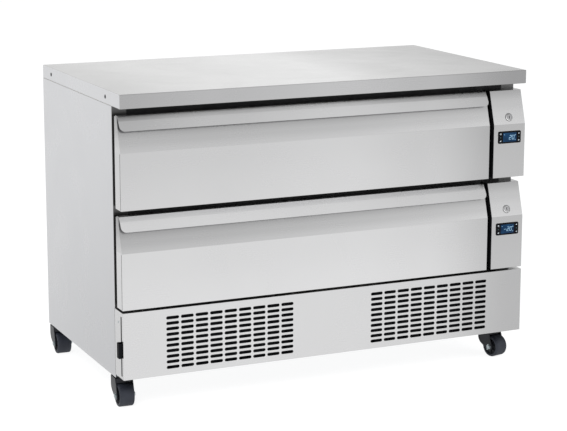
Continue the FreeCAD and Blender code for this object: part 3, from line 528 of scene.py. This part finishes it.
def makeWorktop():
    look = worktopLook
    low, high = boxOf("worktop")
    width, roof = look["returnWidth"], high.z - 2 * look["sheet"]
    rings = ((0.0, high.z), (0.0, low.z), (width, low.z), (width, roof))
    verts = []
    for inset, z in rings:
        x0, x1, y0, y1 = low.x + inset, high.x - inset, low.y + inset, high.y - inset
        verts += [(x0, y0, z), (x1, y0, z), (x1, y1, z), (x0, y1, z)]
    faces = [[0, 1, 2, 3], [12, 13, 14, 15]]
    faces += [[k + i, k + (i + 1) % 4, k + (i + 1) % 4 + 4, k + i + 4] for k in (0, 4, 8) for i in range(4)]
    slab = newPiece("worktopSlab", [(verts, faces)], steel["top"], "cabinet", ("worktop",))
    # the front edge faces take a darker copy of the worktop's steel, painted shade; the end faces take the side
    # steel
    slab.data.materials.append(steel["edge"])
    slab.data.materials.append(steel["side"])
    near = 0.001
    for face in slab.data.polygons:
        if abs(face.normal.x) > 0.9 and not low.x + near < face.center.x < high.x - near:
            face.material_index = 2
        elif face.normal.y < -0.9 and face.center.y < low.y + near:
            face.material_index = 1
    roundEdges(slab, look["edgeRadius"], 4)
    z = high.z - look["screwDrop"]
    heads = sideHeads(look["screw"], low.x, high.x, low.y + look["screwFromFront"], z)
    heads += sideHeads(look["screw"], low.x, high.x, high.y - look["screwFromBack"], z)
    newPiece("worktopScrews", heads, plastic["dark screw"], "cabinet")


# carcass sides

sideLook = dict(bend=0.002, sheet=0.0012, edge=0.0004, hem=0.010, hemInset=0.06, seamWidth=0.0010,
                seamInset=0.001)
seamLook = dict(proud=0.0001, sunk=0.0004)


def seamLine(x, side, y, width, low, high):
    # the dark line of a folded edge, on the outside of a sheet
    return boxMesh((x + side * seamLook["proud"], y, low), (x - side * seamLook["sunk"], y + width, high))


def makeSides():
    look = sideLook
    t, r, inset = look["sheet"], look["bend"], look["hemInset"]
    foot, head = (corner[2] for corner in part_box("grille_panel"))
    for name, side in (("side_panel_left", -1), ("side_panel_right", 1)):
        low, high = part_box(name)
        outer, inner = (low[0], high[0]) if side < 0 else (high[0], low[0])
        skin = outer - side * t
        turns = reversed(quarterTurns(4))
        arc = [(outer - side * (r - r * math.sin(a)), low[1] + r - r * math.cos(a)) for a in turns]
        plan = [(outer, high[1]), *arc, (inner, low[1]), (inner, low[1] + t),
                (skin, low[1] + t), (skin, high[1])]
        hem = outer - side * look["hem"]
        sheets = [prism(plan, foot, high[2], "z"),
                  boxMesh((outer, low[1], low[2]), (skin, high[1], foot + 0.0001)),
                  boxMesh((skin, low[1] + inset, foot - t), (hem, high[1] - inset, foot - 0.0002))]
        piece = newPiece(name + "_sheet", sheets, steel["side"], "cabinet", (name,))
        # the stiles' front faces above the grille take near black steel, painted shade for the gaps under the
        # worktop and between the drawers
        piece.data.materials.append(steel["stile"])
        for face in piece.data.polygons:
            onFront = face.normal.y < -0.9 and face.center.y < low[1] + 0.003
            face.material_index = int(onFront and face.center.z > foot)
        roundEdges(piece, look["edge"], 2)
        width, margin = look["seamWidth"], look["seamInset"]
        seam = seamLine(outer, side, low[1] - width, width, foot + margin, head - margin)
        newPiece(name + "_seam", [seam], plastic["matte black"], "cabinet")


# drawer fronts, handle lips and control panels

frontLook = dict(slopeDrop=0.099, slopeSetback=0.030, bend=0.0016, sheet=0.0012, lipSheet=0.0015,
                 seamBack=0.0035, seamWidth=0.0022, seamInset=0.002)


def frontOutline(low, high, top, inset):
    fold = top - frontLook["slopeDrop"]
    lean = frontLook["slopeSetback"] / frontLook["slopeDrop"]
    slant = math.hypot(1.0, lean)
    topEdge = high.z - inset
    yTop = low.y + (topEdge - fold) * lean + inset * slant
    foldZ = fold + inset * (slant - 1) / lean
    face, foot = low.y + inset, low.z + inset
    return [(high.y, topEdge), (yTop, topEdge), (face, foldZ), (face, foot), (high.y, foot)]


def frontTray(low, high, top, openEnd=False):
    # folded sheet, open at the back and if asked for also at its left end
    sheet = frontLook["sheet"]
    outerVerts, outerFaces = prism(frontOutline(low, high, top, 0.0), low.x, high.x, "x")
    innerLow = low.x if openEnd else low.x + sheet
    innerVerts, innerFaces = prism(frontOutline(low, high, top, sheet), innerLow, high.x - sheet, "x")
    n = len(outerVerts) // 2
    gone = [{0, n, 2 * n - 1, n - 1}] + ([set(range(n))] if openEnd else [])
    rim = [(i, i + 1) for i in range(n - 1)] if openEnd else [(n - 1, 0)]
    rim += [(0, n), (n, 2 * n - 1), (2 * n - 1, n - 1)]
    faces = [f for f in outerFaces if set(f) not in gone]
    faces += [[i + 2 * n for i in f] for f in innerFaces if set(f) not in gone]
    faces += [[a, b, b + 2 * n, a + 2 * n] for a, b in rim]
    return outerVerts + innerVerts, faces


camSlotLook = dict(reach=0.082, room=0.004, below=0.010, front=0.0190, back=0.0280, into=0.0060,
                   beyond=0.001)


def cutCamSlot(skin, level, edge):
    # the opening in the drawer's right side sheet that the lock's cam swings into
    look = camSlotLook
    out, place = jointPlace("lock_turn_" + level)
    right = Vector((1, 0, 0))
    up = out.cross(right)
    gap = place.x - edge
    rise = math.sqrt(look["reach"] ** 2 - gap ** 2) + look["room"]
    verts, faces = boxMesh((-gap - look["into"], -look["below"], -look["back"]),
                           (-gap + look["beyond"], rise, -look["front"]))
    cutter = meshFrom("camSlotCutter", [place + right * x + up * y + out * z for x, y, z in verts], faces)
    block = bpy.data.objects.new("camSlotCutter", cutter)
    scene.collection.objects.link(block)
    cut = skin.modifiers.new("cam slot", "BOOLEAN")
    cut.object = block
    cut.solver = "EXACT"
    opened = bpy.data.meshes.new_from_object(skin.evaluated_get(bpy.context.evaluated_depsgraph_get()))
    skin.modifiers.remove(cut)
    skin.data = opened
    bpy.data.objects.remove(block)


def makeDrawerFronts():
    look = frontLook
    for level in levels:
        node, body = "drawer_front_" + level, "drawer_" + level
        low, high = boxOf(node)
        top = high.z + look["lipSheet"]
        tray = frontTray(low, high, top)
        skin = newPiece("frontSkin_" + level, [tray], steel["front_" + level], body, (node,))
        cutCamSlot(skin, level, high.x)
        roundEdges(skin, look["bend"], 3, 12)
        seams = []
        for x, side in ((low.x, -1), (high.x, 1)):
            y, inset = low.y + look["seamBack"], look["seamInset"]
            fold = top - look["slopeDrop"]
            seams.append(seamLine(x, side, y, look["seamWidth"], low.z + inset, fold - inset))
        newPiece("frontSeams_" + level, seams, plastic["matte black"], body)


lipLook = dict(bendDrop=0.014, bendOut=0.0100, proud=0.026, drop=0.0395, corner=0.014, sheet=0.0015,
               topBend=0.003, midBend=0.010, edge=0.0005)


def lipPath(top, edgeY, backY):
    # the lip's outer face from the back of the top flange to its lower edge, with round bends
    look = lipLook
    raw = [(backY, top), (edgeY, top), (edgeY - look["bendOut"], top - look["bendDrop"]),
           (edgeY - look["proud"], top - look["drop"])]
    raw = [Vector(point) for point in raw]
    path = [raw[0]]
    for before, corner, after, radius in zip(raw, raw[1:], raw[2:], (look["topBend"], look["midBend"])):
        into, onward = (corner - before).normalized(), (after - corner).normalized()
        run = radius * math.tan(into.angle(onward) / 2)
        start, end = corner - into * run, corner + onward * run
        for k in range(6):
            path.append(start.lerp(corner, k / 5).lerp(corner.lerp(end, k / 5), k / 5))
    path.append(raw[3])
    return path


def lipColumns(low, high):
    # places across the lip, each with how far a rounded corner lifts the lower edge there
    r = lipLook["corner"]
    corner = [(r - r * math.cos(a), r - r * math.sin(a)) for a in quarterTurns(8)]
    columns = [(low + across, lift) for across, lift in corner]
    columns += [(low + (high - low) * k / 12, 0.0) for k in range(1, 12)]
    return columns + [(high - across, lift) for across, lift in reversed(corner)]


def makeHandleLips():
    look = lipLook
    for level in levels:
        node = "handle_lip_" + level
        low, high = boxOf(node)
        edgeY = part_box("drawer_front_" + level)[0][1] + frontLook["slopeSetback"]
        path = lipPath(high.z, edgeY, high.y)
        bend, tail = path[-2:]
        path = path[:-1] + [bend.lerp(tail, k / 8) for k in range(1, 9)]
        columns = lipColumns(low.x, high.x)
        verts, faces = [], []
        for x, lift in columns:
            for y, z in path:
                if z < tail.y + lift:
                    z = tail.y + lift
                    y = tail.x + (bend.x - tail.x) * (z - tail.y) / (bend.y - tail.y)
                verts.append((x, y, z))
        rows = len(path)
        for start in range(0, (len(columns) - 1) * rows, rows):
            faces += [[i, i + rows, i + rows + 1, i + 1] for i in range(start, start + rows - 1)]
        lip = newPiece("handleLip_sheet_" + level, [(verts, faces)], steel["lip_" + level], "drawer_" + level,
                       (node,), merge=0.00001)
        thick = lip.modifiers.new("sheet thickness", "SOLIDIFY")
        thick.thickness = look["sheet"]
        thick.offset = -1.0
        roundEdges(lip, look["edge"], 2, 50)
        crisp = lip.modifiers.new("flat bands", "WEIGHTED_NORMAL")
        crisp.weight = 100
        crisp.keep_sharp = True


def makeControlPanels():
    trays = []
    low, high = boxOf("control_panels")
    for level in levels:
        skinLow, skinHigh = boxOf("drawer_front_" + level)
        low.z = skinLow.z
        high.z = skinHigh.z + frontLook["lipSheet"]
        trays.append(frontTray(low, high, high.z, True))
    column = steel["column"]
    panels = newPiece("controlPanel_sheets", trays, column, "cabinet", ("control_panels",))
    roundEdges(panels, frontLook["bend"], 3, 12)


# controllers: bezel, screen, digits and keys; a layer is how deep it starts and ends, from the bezel's face

controllerLook = dict(
    width=0.078, height=0.037, corner=0.0045, proud=0.002, edge=0.0009,
    caseHalf=(0.035, 0.014), screen=(0.046, 0.027, 0.001),
    readings={"upper": "20", "lower": "-20"}, digitsRight=0.0150, digitsDrop=0.0006,
    digitHeight=0.0118, digitWidth=0.0064, stroke=0.0011, slant=0.16, digitGap=0.0036,
    degree=(0.0188, 0.0062, 0.0012),
    ticks=((0.0172, -0.0085, 0.0204, -0.0075), (-0.0195, 0.0075, -0.0170, 0.0085)),
    lampOut=0.0315, lampRadius=0.0016,
    screenLayer=(-0.00010, 0.0009), digitLayer=(-0.00024, -0.00007), tickLayer=(-0.00024, -0.00008),
    lampLayer=(-0.00015, 0.0002),
)
segments = {"0": "abcdef", "1": "bc", "2": "abged", "3": "abgcd", "4": "fgbc", "5": "afgcd", "6": "afgedc",
            "7": "abc", "8": "abcdefg", "9": "abcdfg", "-": "g"}
keyKinds = ("set", "light", "up", "down")


def layer(outline, face, name):
    start, end = controllerLook[name]
    return prism(outline, face + start, face + end, "y")


def digitMeshes(text, right, centreZ, face):
    look = controllerLook
    w, h, s = look["digitWidth"], look["digitHeight"], look["stroke"]
    bars = {"a": (0, 2), "g": (0, 0), "d": (0, -2), "f": (-1, 1), "b": (1, 1), "e": (-1, -1), "c": (1, -1)}
    meshes = []
    for index, letter in enumerate(reversed(text)):
        cx = right - w / 2 - index * (w + look["digitGap"])
        for column, row in (bars[name] for name in segments[letter]):
            bx, bz, flat = column * w / 2, row * h / 4, column == 0
            half, tip = ((w if flat else h / 2) - s) / 2, s / 2
            bar = [(-half, -tip), (half, -tip), (half + tip, 0), (half, tip), (-half, tip), (-half - tip, 0)]
            if not flat:
                bar = [(across, along) for along, across in bar]
            outline = [(cx + bx + px + (bz + pz) * look["slant"], centreZ + bz + pz) for px, pz in bar]
            meshes.append(layer(outline, face, "digitLayer"))
    return meshes


def keyCentre(level):
    marks = [middle("key_%s_%s" % (level, kind)) for kind in keyKinds]
    return sum(marks, Vector()) / len(marks)


def makeControllers():
    look = controllerLook
    bezels, cases, screens, digits, ticks, lamps = [], [], [], [], [], []
    (_, face, _), (_, caseBack, _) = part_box("controllers")
    caseFront = face + look["proud"]
    for level in levels:
        c = keyCentre(level)
        plate = roundedRect(c.x, c.z, look["width"], look["height"], look["corner"], 8)
        bezels.append(prism(plate, face, caseFront, "y"))
        halfX, halfZ = look["caseHalf"]
        cases.append(boxMesh((c.x - halfX, caseFront, c.z - halfZ), (c.x + halfX, caseBack, c.z + halfZ)))
        screens.append(layer(roundedRect(c.x, c.z, *look["screen"], 3), face, "screenLayer"))
        text, right = look["readings"][level], c.x + look["digitsRight"]
        digits += digitMeshes(text, right, c.z - look["digitsDrop"], face)
        across, up, radius = look["degree"]
        ticks.append(layer(circle(c.x + across, c.z + up, radius, 16), face, "tickLayer"))
        for x0, z0, x1, z1 in look["ticks"]:
            tick = [(c.x + x, c.z + z) for x, z in ((x0, z0), (x1, z0), (x1, z1), (x0, z1))]
            ticks.append(layer(tick, face, "tickLayer"))
        for side in (-1, 1):
            lamp = circle(c.x + side * look["lampOut"], c.z, look["lampRadius"], 16)
            lamps.append(layer(lamp, face, "lampLayer"))
    black, case = plastic["gloss black"], plastic["matte black"]
    bezel = newPiece("controller_bezels", bezels, black, "cabinet", ("controllers",))
    roundEdges(bezel, look["edge"], 4)
    newPiece("controller_cases", cases, case, "cabinet", smooth=False)
    newPiece("controller_screens", screens, blueScreen, "cabinet", ("display_windows",), False)
    newPiece("temperature_digits", digits, digitGlow, "cabinet", smooth=False)
    newPiece("screen_ticks", ticks, digitGlow, "cabinet", smooth=False)
    newPiece("status_lamps", lamps, lampGreen, "cabinet")


keyLook = dict(travelRoom=0.0010, size=0.0060, corner=0.0014, edge=0.0003, iconSize=0.0019,
               iconProud=0.00008, iconSunk=0.00005)


def keyIcon(kind, cx, cz, face):
    s = keyLook["iconSize"]
    y0, y1 = face - keyLook["iconProud"], face + keyLook["iconSunk"]
    if kind in ("up", "down"):
        way = s if kind == "up" else -s
        foot = cz - way * 0.7
        return [prism([(cx - s, foot), (cx + s, foot), (cx, cz + way)], y0, y1, "y")]
    if kind == "light":
        ray = boxMesh((s * 0.8, y0, -s * 0.12), (s * 1.25, y1, s * 0.12))
        turns = [Matrix.Rotation(math.pi / 4 * k, 4, "Y") for k in range(8)]
        sun = prism(circle(cx, cz, s * 0.55, 16), y0, y1, "y")
        return [sun] + [moved(ray, Matrix.Translation((cx, 0, cz)) @ turn) for turn in turns]
    rows = [cz + k * s * 0.8 for k in (-1, 0, 1)]
    return [boxMesh((cx - s, y0, z - s * 0.18), (cx + s, y1, z + s * 0.18)) for z in rows]


def makeKeys():
    look = keyLook
    for level in levels:
        for kind in keyKinds:
            name = "%s_%s" % (level, kind)
            node = "key_" + name
            low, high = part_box(node)
            c = middle(node)
            outline = roundedRect(c.x, c.z, look["size"], look["size"], look["corner"], 5)
            cap = prism(outline, low[1], high[1] - look["travelRoom"], "y")
            piece = newPiece("keyCap_" + name, [cap], plastic["gloss black"], node, (node,))
            roundEdges(piece, look["edge"], 3)
            icon = keyIcon(kind, c.x, c.z, low[1])
            newPiece("keyIcon_" + name, icon, iconGlow, node, smooth=False)


# locks

lockLook = dict(flange=0.0110, proud=0.0020, plug=0.0059, groove=0.0016, barrel=0.0090,
                barrelLength=0.022, keyway=(0.0028, 0.0098), keywayDepth=0.0010, seat=0.0121,
                seatSheet=0.0004, rimSteps=((0.0028, 0.0), (0.0012, 0.0003), (0.0003, 0.0010)))


def makeLocks():
    look = lockLook
    f, p, b, inner = look["flange"], look["proud"], look["barrel"], look["plug"] + look["groove"]
    rim = [(f - across, p - down) for across, down in look["rimSteps"]]
    bezel = [(inner, p - 0.0006), (inner + 0.0008, p), *rim, (f, 0.0001), (b, 0.0), (b, -look["barrelLength"]),
             (inner, -look["barrelLength"])]
    # a black ring under each flange that reaches past its rim: partly a gasket ring under the flange, partly a
    # painted shadow line around the lock
    inside, outside, sheet = f - 0.0008, look["seat"], look["seatSheet"]
    washer = [(inside, 0.0), (inside, sheet), (outside, sheet), (outside, 0.0)]
    w, h = look["keyway"]
    rings, seatShadowRings, black = [], [], plastic["matte black"]
    for level in levels:
        axis, place = jointPlace("lock_turn_" + level)
        seat = turnTo(axis, place)
        rings.append(moved(lathe(bezel, 48), seat))
        seatShadowRings.append(moved(lathe(washer, 48), seat))
        node = "lock_plug_" + level
        plug = frame["nodes"][node]
        face = max((plug.matrix_world @ v.co - place).dot(axis) for v in plug.data.vertices)
        slot = prism(roundedRect(0, 0, w, h, w * 0.45, 4), face - look["keywayDepth"], face + 0.0001, "z")
        newPiece("keyway_" + level, [moved(slot, seat)], black, node, smooth=False)
    newPiece("lock_seat_shadow_rings", seatShadowRings, black, "cabinet", smooth=False)
    newPiece("lock_bezels", rings, steel["chrome"], "cabinet", ("lock_housings",))


# castors; a crown's heights are from its own foot, those of the race and the pin from the plate's top

castorLook = dict(
    legThickness=0.003, legGap=0.0015, legFront=0.024, legBack=0.020, legShoulder=0.050,
    eyeRadius=0.013, bridgeFront=0.0132, webLow=0.0658, rearWeb=0.0135, rearLow=0.0465,
    crownHeight=0.0057, trail=0.028, forkEdge=0.0008,
    crown=((0.0052, 0.0), (0.0200, 0.0), (0.0215, 0.0010), (0.0220, 0.0025), (0.0208, 0.0049),
           (0.0190, 0.0057), (0.0052, 0.0057)),
    hexRadius=0.0068, hexHeight=0.0040, rivetBack=0.006, rivetDrop=0.0095,
    washer=((0.0001, 0.0), (0.0080, 0.0), (0.0080, 0.0009), (0.0001, 0.0009)),
    rivet=((0.0001, 0.0014), (0.0018, 0.0011), (0.0026, 0.0002), (0.0026, -0.0005)),
    plateX=0.047, plateY=0.060, plateCorner=0.005, plateSheet=0.003,
    race=((0.0001, -0.0030), (0.0220, -0.0030), (0.0219, -0.0058), (0.0205, -0.0078), (0.0185, -0.0088),
          (0.0001, -0.0088)),
    pin=((0.0001, -0.0030), (0.0050, -0.0030), (0.0050, -0.0150), (0.0001, -0.0150)),
    boltX=0.0195, boltY=0.0255, boltRadius=0.0038, boltHeight=0.0025,
)


def legOutline(top):
    # side view of one fork leg: wide under the crown, then a round eye about the axle
    look = castorLook
    r, back, shoulder = look["eyeRadius"], look["legBack"], look["legShoulder"]
    turns = [math.radians(d) for d in range(155, 311, 12)]
    eye = [(r * math.cos(a) - look["trail"], r * math.sin(a) + wheelLook["radius"]) for a in turns]
    return [(-look["legFront"], top), *eye, (back - 0.010, shoulder - 0.012), (back - 0.003, shoulder - 0.004),
            (back, shoulder + 0.004), (back, top)]


def makeFork(corner):
    look = castorLook
    body = "castor_fork_" + corner
    swivel = jointPlace("castor_swivel_" + corner)[1]
    axle = jointPlace("castor_roll_" + corner)[0]
    seat = Matrix.Translation((swivel.x, swivel.y, 0)) @ Matrix.Rotation(math.atan2(axle.y, axle.x), 4, "Z")
    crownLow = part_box(body)[1][2] - look["crownHeight"]
    legTop = crownLow + look["crownHeight"] / 3
    t, front, rear = look["legThickness"], -look["legFront"], look["rearWeb"]
    inner = wheelLook["width"] / 2 + look["legGap"]
    outer = inner + t
    pressing = [prism(legOutline(legTop), side * inner, side * outer, "x") for side in (-1, 1)]
    pressing.append(boxMesh((-outer, -look["bridgeFront"], crownLow), (outer, look["legBack"], legTop)))
    pressing.append(boxMesh((-outer, front, look["webLow"]), (outer, front + t, legTop)))
    pressing.append(boxMesh((-outer, rear, look["rearLow"]), (outer, rear + t, legTop)))
    pressing.append(moved(lathe(look["crown"], 48), Matrix.Translation((0, 0, crownLow))))
    pressing = [moved(part, seat) for part in pressing]
    enamel = plastic["castor enamel"]
    fork = newPiece("forkPressing_" + corner, pressing, enamel, body, (body,))
    roundEdges(fork, look["forkEdge"], 3)
    trail, axleHeight = -look["trail"], wheelLook["radius"]
    nut = prism(circle(0, 0, look["hexRadius"], 6), 0, look["hexHeight"], "z")
    heads = [moved(nut, turnTo((side, 0, 0), (side * outer, trail, axleHeight))) for side in (-1, 1)]
    heads += sideHeads(look["washer"], -outer, outer, trail, axleHeight, 32)
    rivetY, rivetZ = trail + look["rivetBack"], axleHeight - look["rivetDrop"]
    heads += sideHeads(look["rivet"], -outer, outer, rivetY, rivetZ, 20)
    heads = [moved(head, seat) for head in heads]
    roundEdges(newPiece("axleBolt_" + corner, heads, steel["bolt"], body), 0.0005, 2)


# a wheel's disc is (radius, depth below the wheel's side)
wheelLook = dict(
    width=0.043, radius=0.032, rim=0.0250, rimDish=0.0005, dishSide=0.004, shoulder=0.0046,
    crown=0.0001, crownSide=0.010,
    disc=((0.0041, 0.0), (0.0095, 0.0), (0.0110, 0.0012), (0.0115, 0.0040), (0.0210, 0.0040), (0.0232, 0.0012),
          (0.0248, 0.0003)),
    ribs=8, ribFrom=0.0105, ribTo=0.0220, ribHalf=0.0011, ribSide=0.0020, ribLow=0.0020,
    ribHigh=0.0010,
)


def makeWheel(corner):
    look = wheelLook
    body = "castor_wheel_" + corner
    seat = turnTo(*jointPlace("castor_roll_" + corner))
    w, r, s = look["width"] / 2, look["radius"], look["shoulder"]
    rim, dish, dishEnd = look["rim"], look["rim"] - look["rimDish"], w - look["dishSide"]
    shoulder = [(r - s + s * math.sin(a), -w + s - s * math.cos(a)) for a in quarterTurns(6)]
    crownEnd = w - look["crownSide"]
    crown = [(r - look["crown"], -crownEnd), (r, 0.0), (r - look["crown"], crownEnd)]
    back = [(radius, -z) for radius, z in reversed(shoulder)]
    tread = [(rim, -w), *shoulder, *crown, *back, (rim, w), (dish, dishEnd), (dish, -dishEnd)]
    rubber = plastic["tread rubber"]
    newPiece("wheelTread_" + corner, [moved(lathe(tread, 96), seat)], rubber, body, (body,))
    disc = [(radius, depth - w) for radius, depth in look["disc"]]
    core = [moved(lathe(disc + [(radius, -z) for radius, z in reversed(disc)], 64), seat)]
    for side in (-1, 1):
        z = side * (w - look["ribSide"])
        rib = boxMesh((look["ribFrom"], -look["ribHalf"], z - look["ribLow"]),
                      (look["ribTo"], look["ribHalf"], z + look["ribHigh"]))
        for k in range(look["ribs"]):
            core.append(moved(rib, seat @ Matrix.Rotation(2 * math.pi * k / look["ribs"], 4, "Z")))
    hub = newPiece("wheelCore_" + corner, core, plastic["wheel core"], body)
    roundEdges(hub, 0.0004, 2, 40)


def makeCastorPlates():
    look = castorLook
    meshes, bolts = [], []
    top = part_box("castor_plates")[1][2]
    under = top - look["plateSheet"]
    for corner in corners:
        swivel = jointPlace("castor_swivel_" + corner)[1]
        outline = roundedRect(swivel.x, swivel.y, look["plateX"], look["plateY"], look["plateCorner"], 6)
        seat = Matrix.Translation((swivel.x, swivel.y, top))
        meshes.append(prism(outline, under, top, "z"))
        meshes += [moved(lathe(look[name], steps, False), seat) for name, steps in (("race", 48), ("pin", 32))]
        for sy in (-1, 1):
            for sx in (-1, 1):
                x, y = swivel.x + sx * look["boltX"], swivel.y + sy * look["boltY"]
                bolts.append(prism(circle(x, y, look["boltRadius"], 6), under - look["boltHeight"], under, "z"))
    enamel = plastic["castor enamel"]
    plates = newPiece("castorPlate_pressings", meshes, enamel, "cabinet", ("castor_plates",))
    roundEdges(plates, 0.0005, 2)
    roundEdges(newPiece("castorPlate_bolts", bolts, steel["bolt"], "cabinet"), 0.0004, 2)


# machine panel trim and filter tab

filterLook = dict(
    tabDepth=0.020, tabHeight=0.043, tabProud=0.011, tabDrop=0.010, tabRound=0.003,
    tabEdge=0.0006, slotBack=0.0155, room=0.0002, ribs=5, ribPitch=0.0068, ribLength=0.0144,
    ribHeight=0.0020, ribDepth=0.0016, rivetBack=0.039, rivetDrop=0.032,
    rivet=((0.0001, 0.0012), (0.00192, 0.0010), (0.002944, 0.0005), (0.0032, -0.0002)),
)


def makeFilterTab():
    look = filterLook
    low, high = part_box("air_filter")
    panelLow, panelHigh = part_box("grille_panel")
    room, proud, half = look["room"], look["tabProud"], look["tabHeight"] / 2
    y = panelLow[1] + look["slotBack"]
    z = (low[2] + high[2]) / 2 - look["tabDrop"]
    x, depth = panelLow[0] - proud / 2 + room, look["tabDepth"] - room
    plan = roundedRect(x, y, proud - 2 * room, depth, look["tabRound"])
    meshes = [prism(plan, z - half, z + half, "z")]
    halfY, halfZ = look["ribLength"] / 2, look["ribHeight"] / 2
    for k in range(look["ribs"]):
        ribZ = z + (k - (look["ribs"] - 1) / 2) * look["ribPitch"]
        meshes.append(boxMesh((low[0] + room, y - halfY, ribZ - halfZ),
                              (low[0] + look["ribDepth"], y + halfY, ribZ + halfZ)))
    tab = newPiece("filterTab_cover", meshes, plastic["matte black"], "air_filter")
    roundEdges(tab, look["tabEdge"], 3)
    y, z = panelLow[1] + look["rivetBack"], panelHigh[2] - look["rivetDrop"]
    heads = sideHeads(look["rivet"], panelLow[0], panelHigh[0], y, z)
    newPiece("machinePanel_rivets", heads, steel["bolt"], "cabinet")


dressNodes()
makeWorktop()
makeSides()
print("counter: carcass ready")
makeDrawerFronts()
makeHandleLips()
makeControlPanels()
print("counter: fronts ready")
makeControllers()
makeKeys()
makeLocks()
print("counter: controls ready")
for corner in corners:
    makeFork(corner)
    makeWheel(corner)
makeCastorPlates()
makeFilterTab()
print("counter: castors and trim ready")


# studio; heights are the z of a direction, bearings are in degrees from straight behind the counter

studioLook = dict(
    worldFill=0.60, fillColour=(0.97, 0.985, 1.0, 1), floorColour=0.30, floorGlow=0.86,
    floorReach=14.0,
    frontByHeight=((-0.32, 0.93), (-0.24, 0.97), (-0.16, 0.93), (0.05, 0.88), (0.28, 0.80), (0.42, 0.80),
                   (0.64, 0.82), (0.88, 0.70)),
    backByHeight=((-0.32, 0.74), (-0.27, 0.78), (-0.21, 0.93), (-0.13, 0.94), (0.05, 0.98), (0.20, 1.0),
                  (0.60, 0.84), (1.0, 0.70)),
    byBearing=((-180, 0.98), (-60, 0.98), (-10, 1.0), (8, 0.85), (19, 0.96), (25, 1.02), (30, 0.90),
               (38, 0.62), (60, 0.60), (90, 0.80), (130, 0.95), (148, 1.0), (180, 0.98)),
    heights=(-0.4, 1.0), frontToBack=(-0.2, 0.2), aim=(0, 0, 0.5),
    softboxes=(("key softbox", (-2.6, -3.2, 3.4), 2.4, 120), ("fill softbox", (3.0, -2.4, 2.2), 2.0, 40)),
)
cameraLook = dict(lens=113.336, shift=-0.0538, x=-2.2063, y=-4.8571, aboveWorktop=0.6921,
                  right=(0.91026, -0.41404, 0.0014), up=(0.07893, 0.17685, 0.98107),
                  back=(-0.40645, -0.89291, 0.19366))


def rampFrom(tree, value, stops, low, high):
    # tones of up to 2 along a measure; the ramp holds them halved
    ramp = addNode(tree, "ValToRGB", Fac=mapRange(tree, value, low, high))
    ramp.color_ramp.interpolation = "EASE"
    points = ramp.color_ramp.elements
    for index, (place, tone) in enumerate(stops):
        point = points[index] if index < 2 else points.new(1.0)
        point.position = (place - low) / (high - low)
        point.color = (tone / 2, tone / 2, tone / 2, 1)
    return mathOf(tree, "MULTIPLY", ramp.outputs["Color"], 2.0)


def studioWorld():
    # white to the camera, soft panels of grey and white to the steel, an even fill to everything else
    look = studioLook
    world = bpy.data.worlds.new("studio")
    scene.world = world
    world.use_nodes = True
    tree = world.node_tree
    tree.nodes.clear()
    way = addNode(tree, "SeparateXYZ", Vector=addNode(tree, "TexCoord").outputs["Generated"]).outputs
    bearings = [(math.radians(angle), tone) for angle, tone in look["byBearing"]]
    around = rampFrom(tree, mathOf(tree, "ARCTAN2", way["X"], way["Y"]), bearings, -math.pi, math.pi)
    ways = (look["frontByHeight"], look["backByHeight"])
    tones = [rampFrom(tree, way["Z"], stops, *look["heights"]) for stops in ways]
    tone = mathOf(tree, "MULTIPLY", toneSteps(tree, way["Y"], look["frontToBack"], tones), around)
    mirrored = addNode(tree, "Background", Color=(1, 1, 1, 1), Strength=tone)
    seen = addNode(tree, "Background", Color=(1, 1, 1, 1), Strength=1.0)
    result = addNode(tree, "Background", Color=look["fillColour"], Strength=look["worldFill"])
    rays = addNode(tree, "LightPath").outputs
    for kind, shown in (("Is Glossy Ray", mirrored), ("Is Camera Ray", seen)):
        result = feedInto(addNode(tree, "MixShader"), rays[kind], result.outputs[0], shown.outputs[0])
    addNode(tree, "OutputWorld", Surface=result.outputs[0])


def studioFloor():
    # white by itself, and darker only where the object keeps light off it
    reach = studioLook["floorReach"]
    mesh = bpy.data.meshes.new("studioFloor")
    corner = [(-reach, -reach, 0), (reach, -reach, 0), (reach, reach, 0), (-reach, reach, 0)]
    mesh.from_pydata(corner, [], [range(4)])
    floor = bpy.data.objects.new("studioFloor", mesh)
    scene.collection.objects.link(floor)
    floor.visible_glossy = False
    material, tree, shader = blankMaterial("studio floor")
    grey = studioLook["floorColour"]
    feedInto(shader, Base_Color=(grey, grey, grey, 1), Roughness=0.9, Specular_IOR_Level=0.0,
             Emission_Color=(1, 1, 1, 1), Emission_Strength=studioLook["floorGlow"])
    mesh.materials.append(material)


def softbox(name, place, size, watts):
    lamp = bpy.data.lights.new(name, "AREA")
    lamp.shape = "SQUARE"
    lamp.size = size
    lamp.energy = watts
    holder = bpy.data.objects.new(name, lamp)
    scene.collection.objects.link(holder)
    holder.location = place
    holder.rotation_euler = (Vector(studioLook["aim"]) - Vector(place)).to_track_quat("-Z", "Y").to_euler()
    holder.visible_glossy = False


def studioCamera():
    # the photograph's view: stood to the front left, just above the worktop
    look = cameraLook
    camera = bpy.data.cameras.new("camera")
    camera.sensor_width = 36.0
    camera.lens = look["lens"]
    camera.shift_y = look["shift"]
    holder = bpy.data.objects.new("camera", camera)
    scene.collection.objects.link(holder)
    place = Matrix.Translation((look["x"], look["y"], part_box("worktop")[1][2] + look["aboveWorktop"]))
    holder.matrix_world = place @ Matrix((look["right"], look["up"], look["back"])).transposed().to_4x4()
    scene.camera = holder


studioWorld()
studioFloor()
for lampRow in studioLook["softboxes"]:
    softbox(*lampRow)
studioCamera()
scene.view_settings.view_transform = "Standard"
print("counter: studio ready")
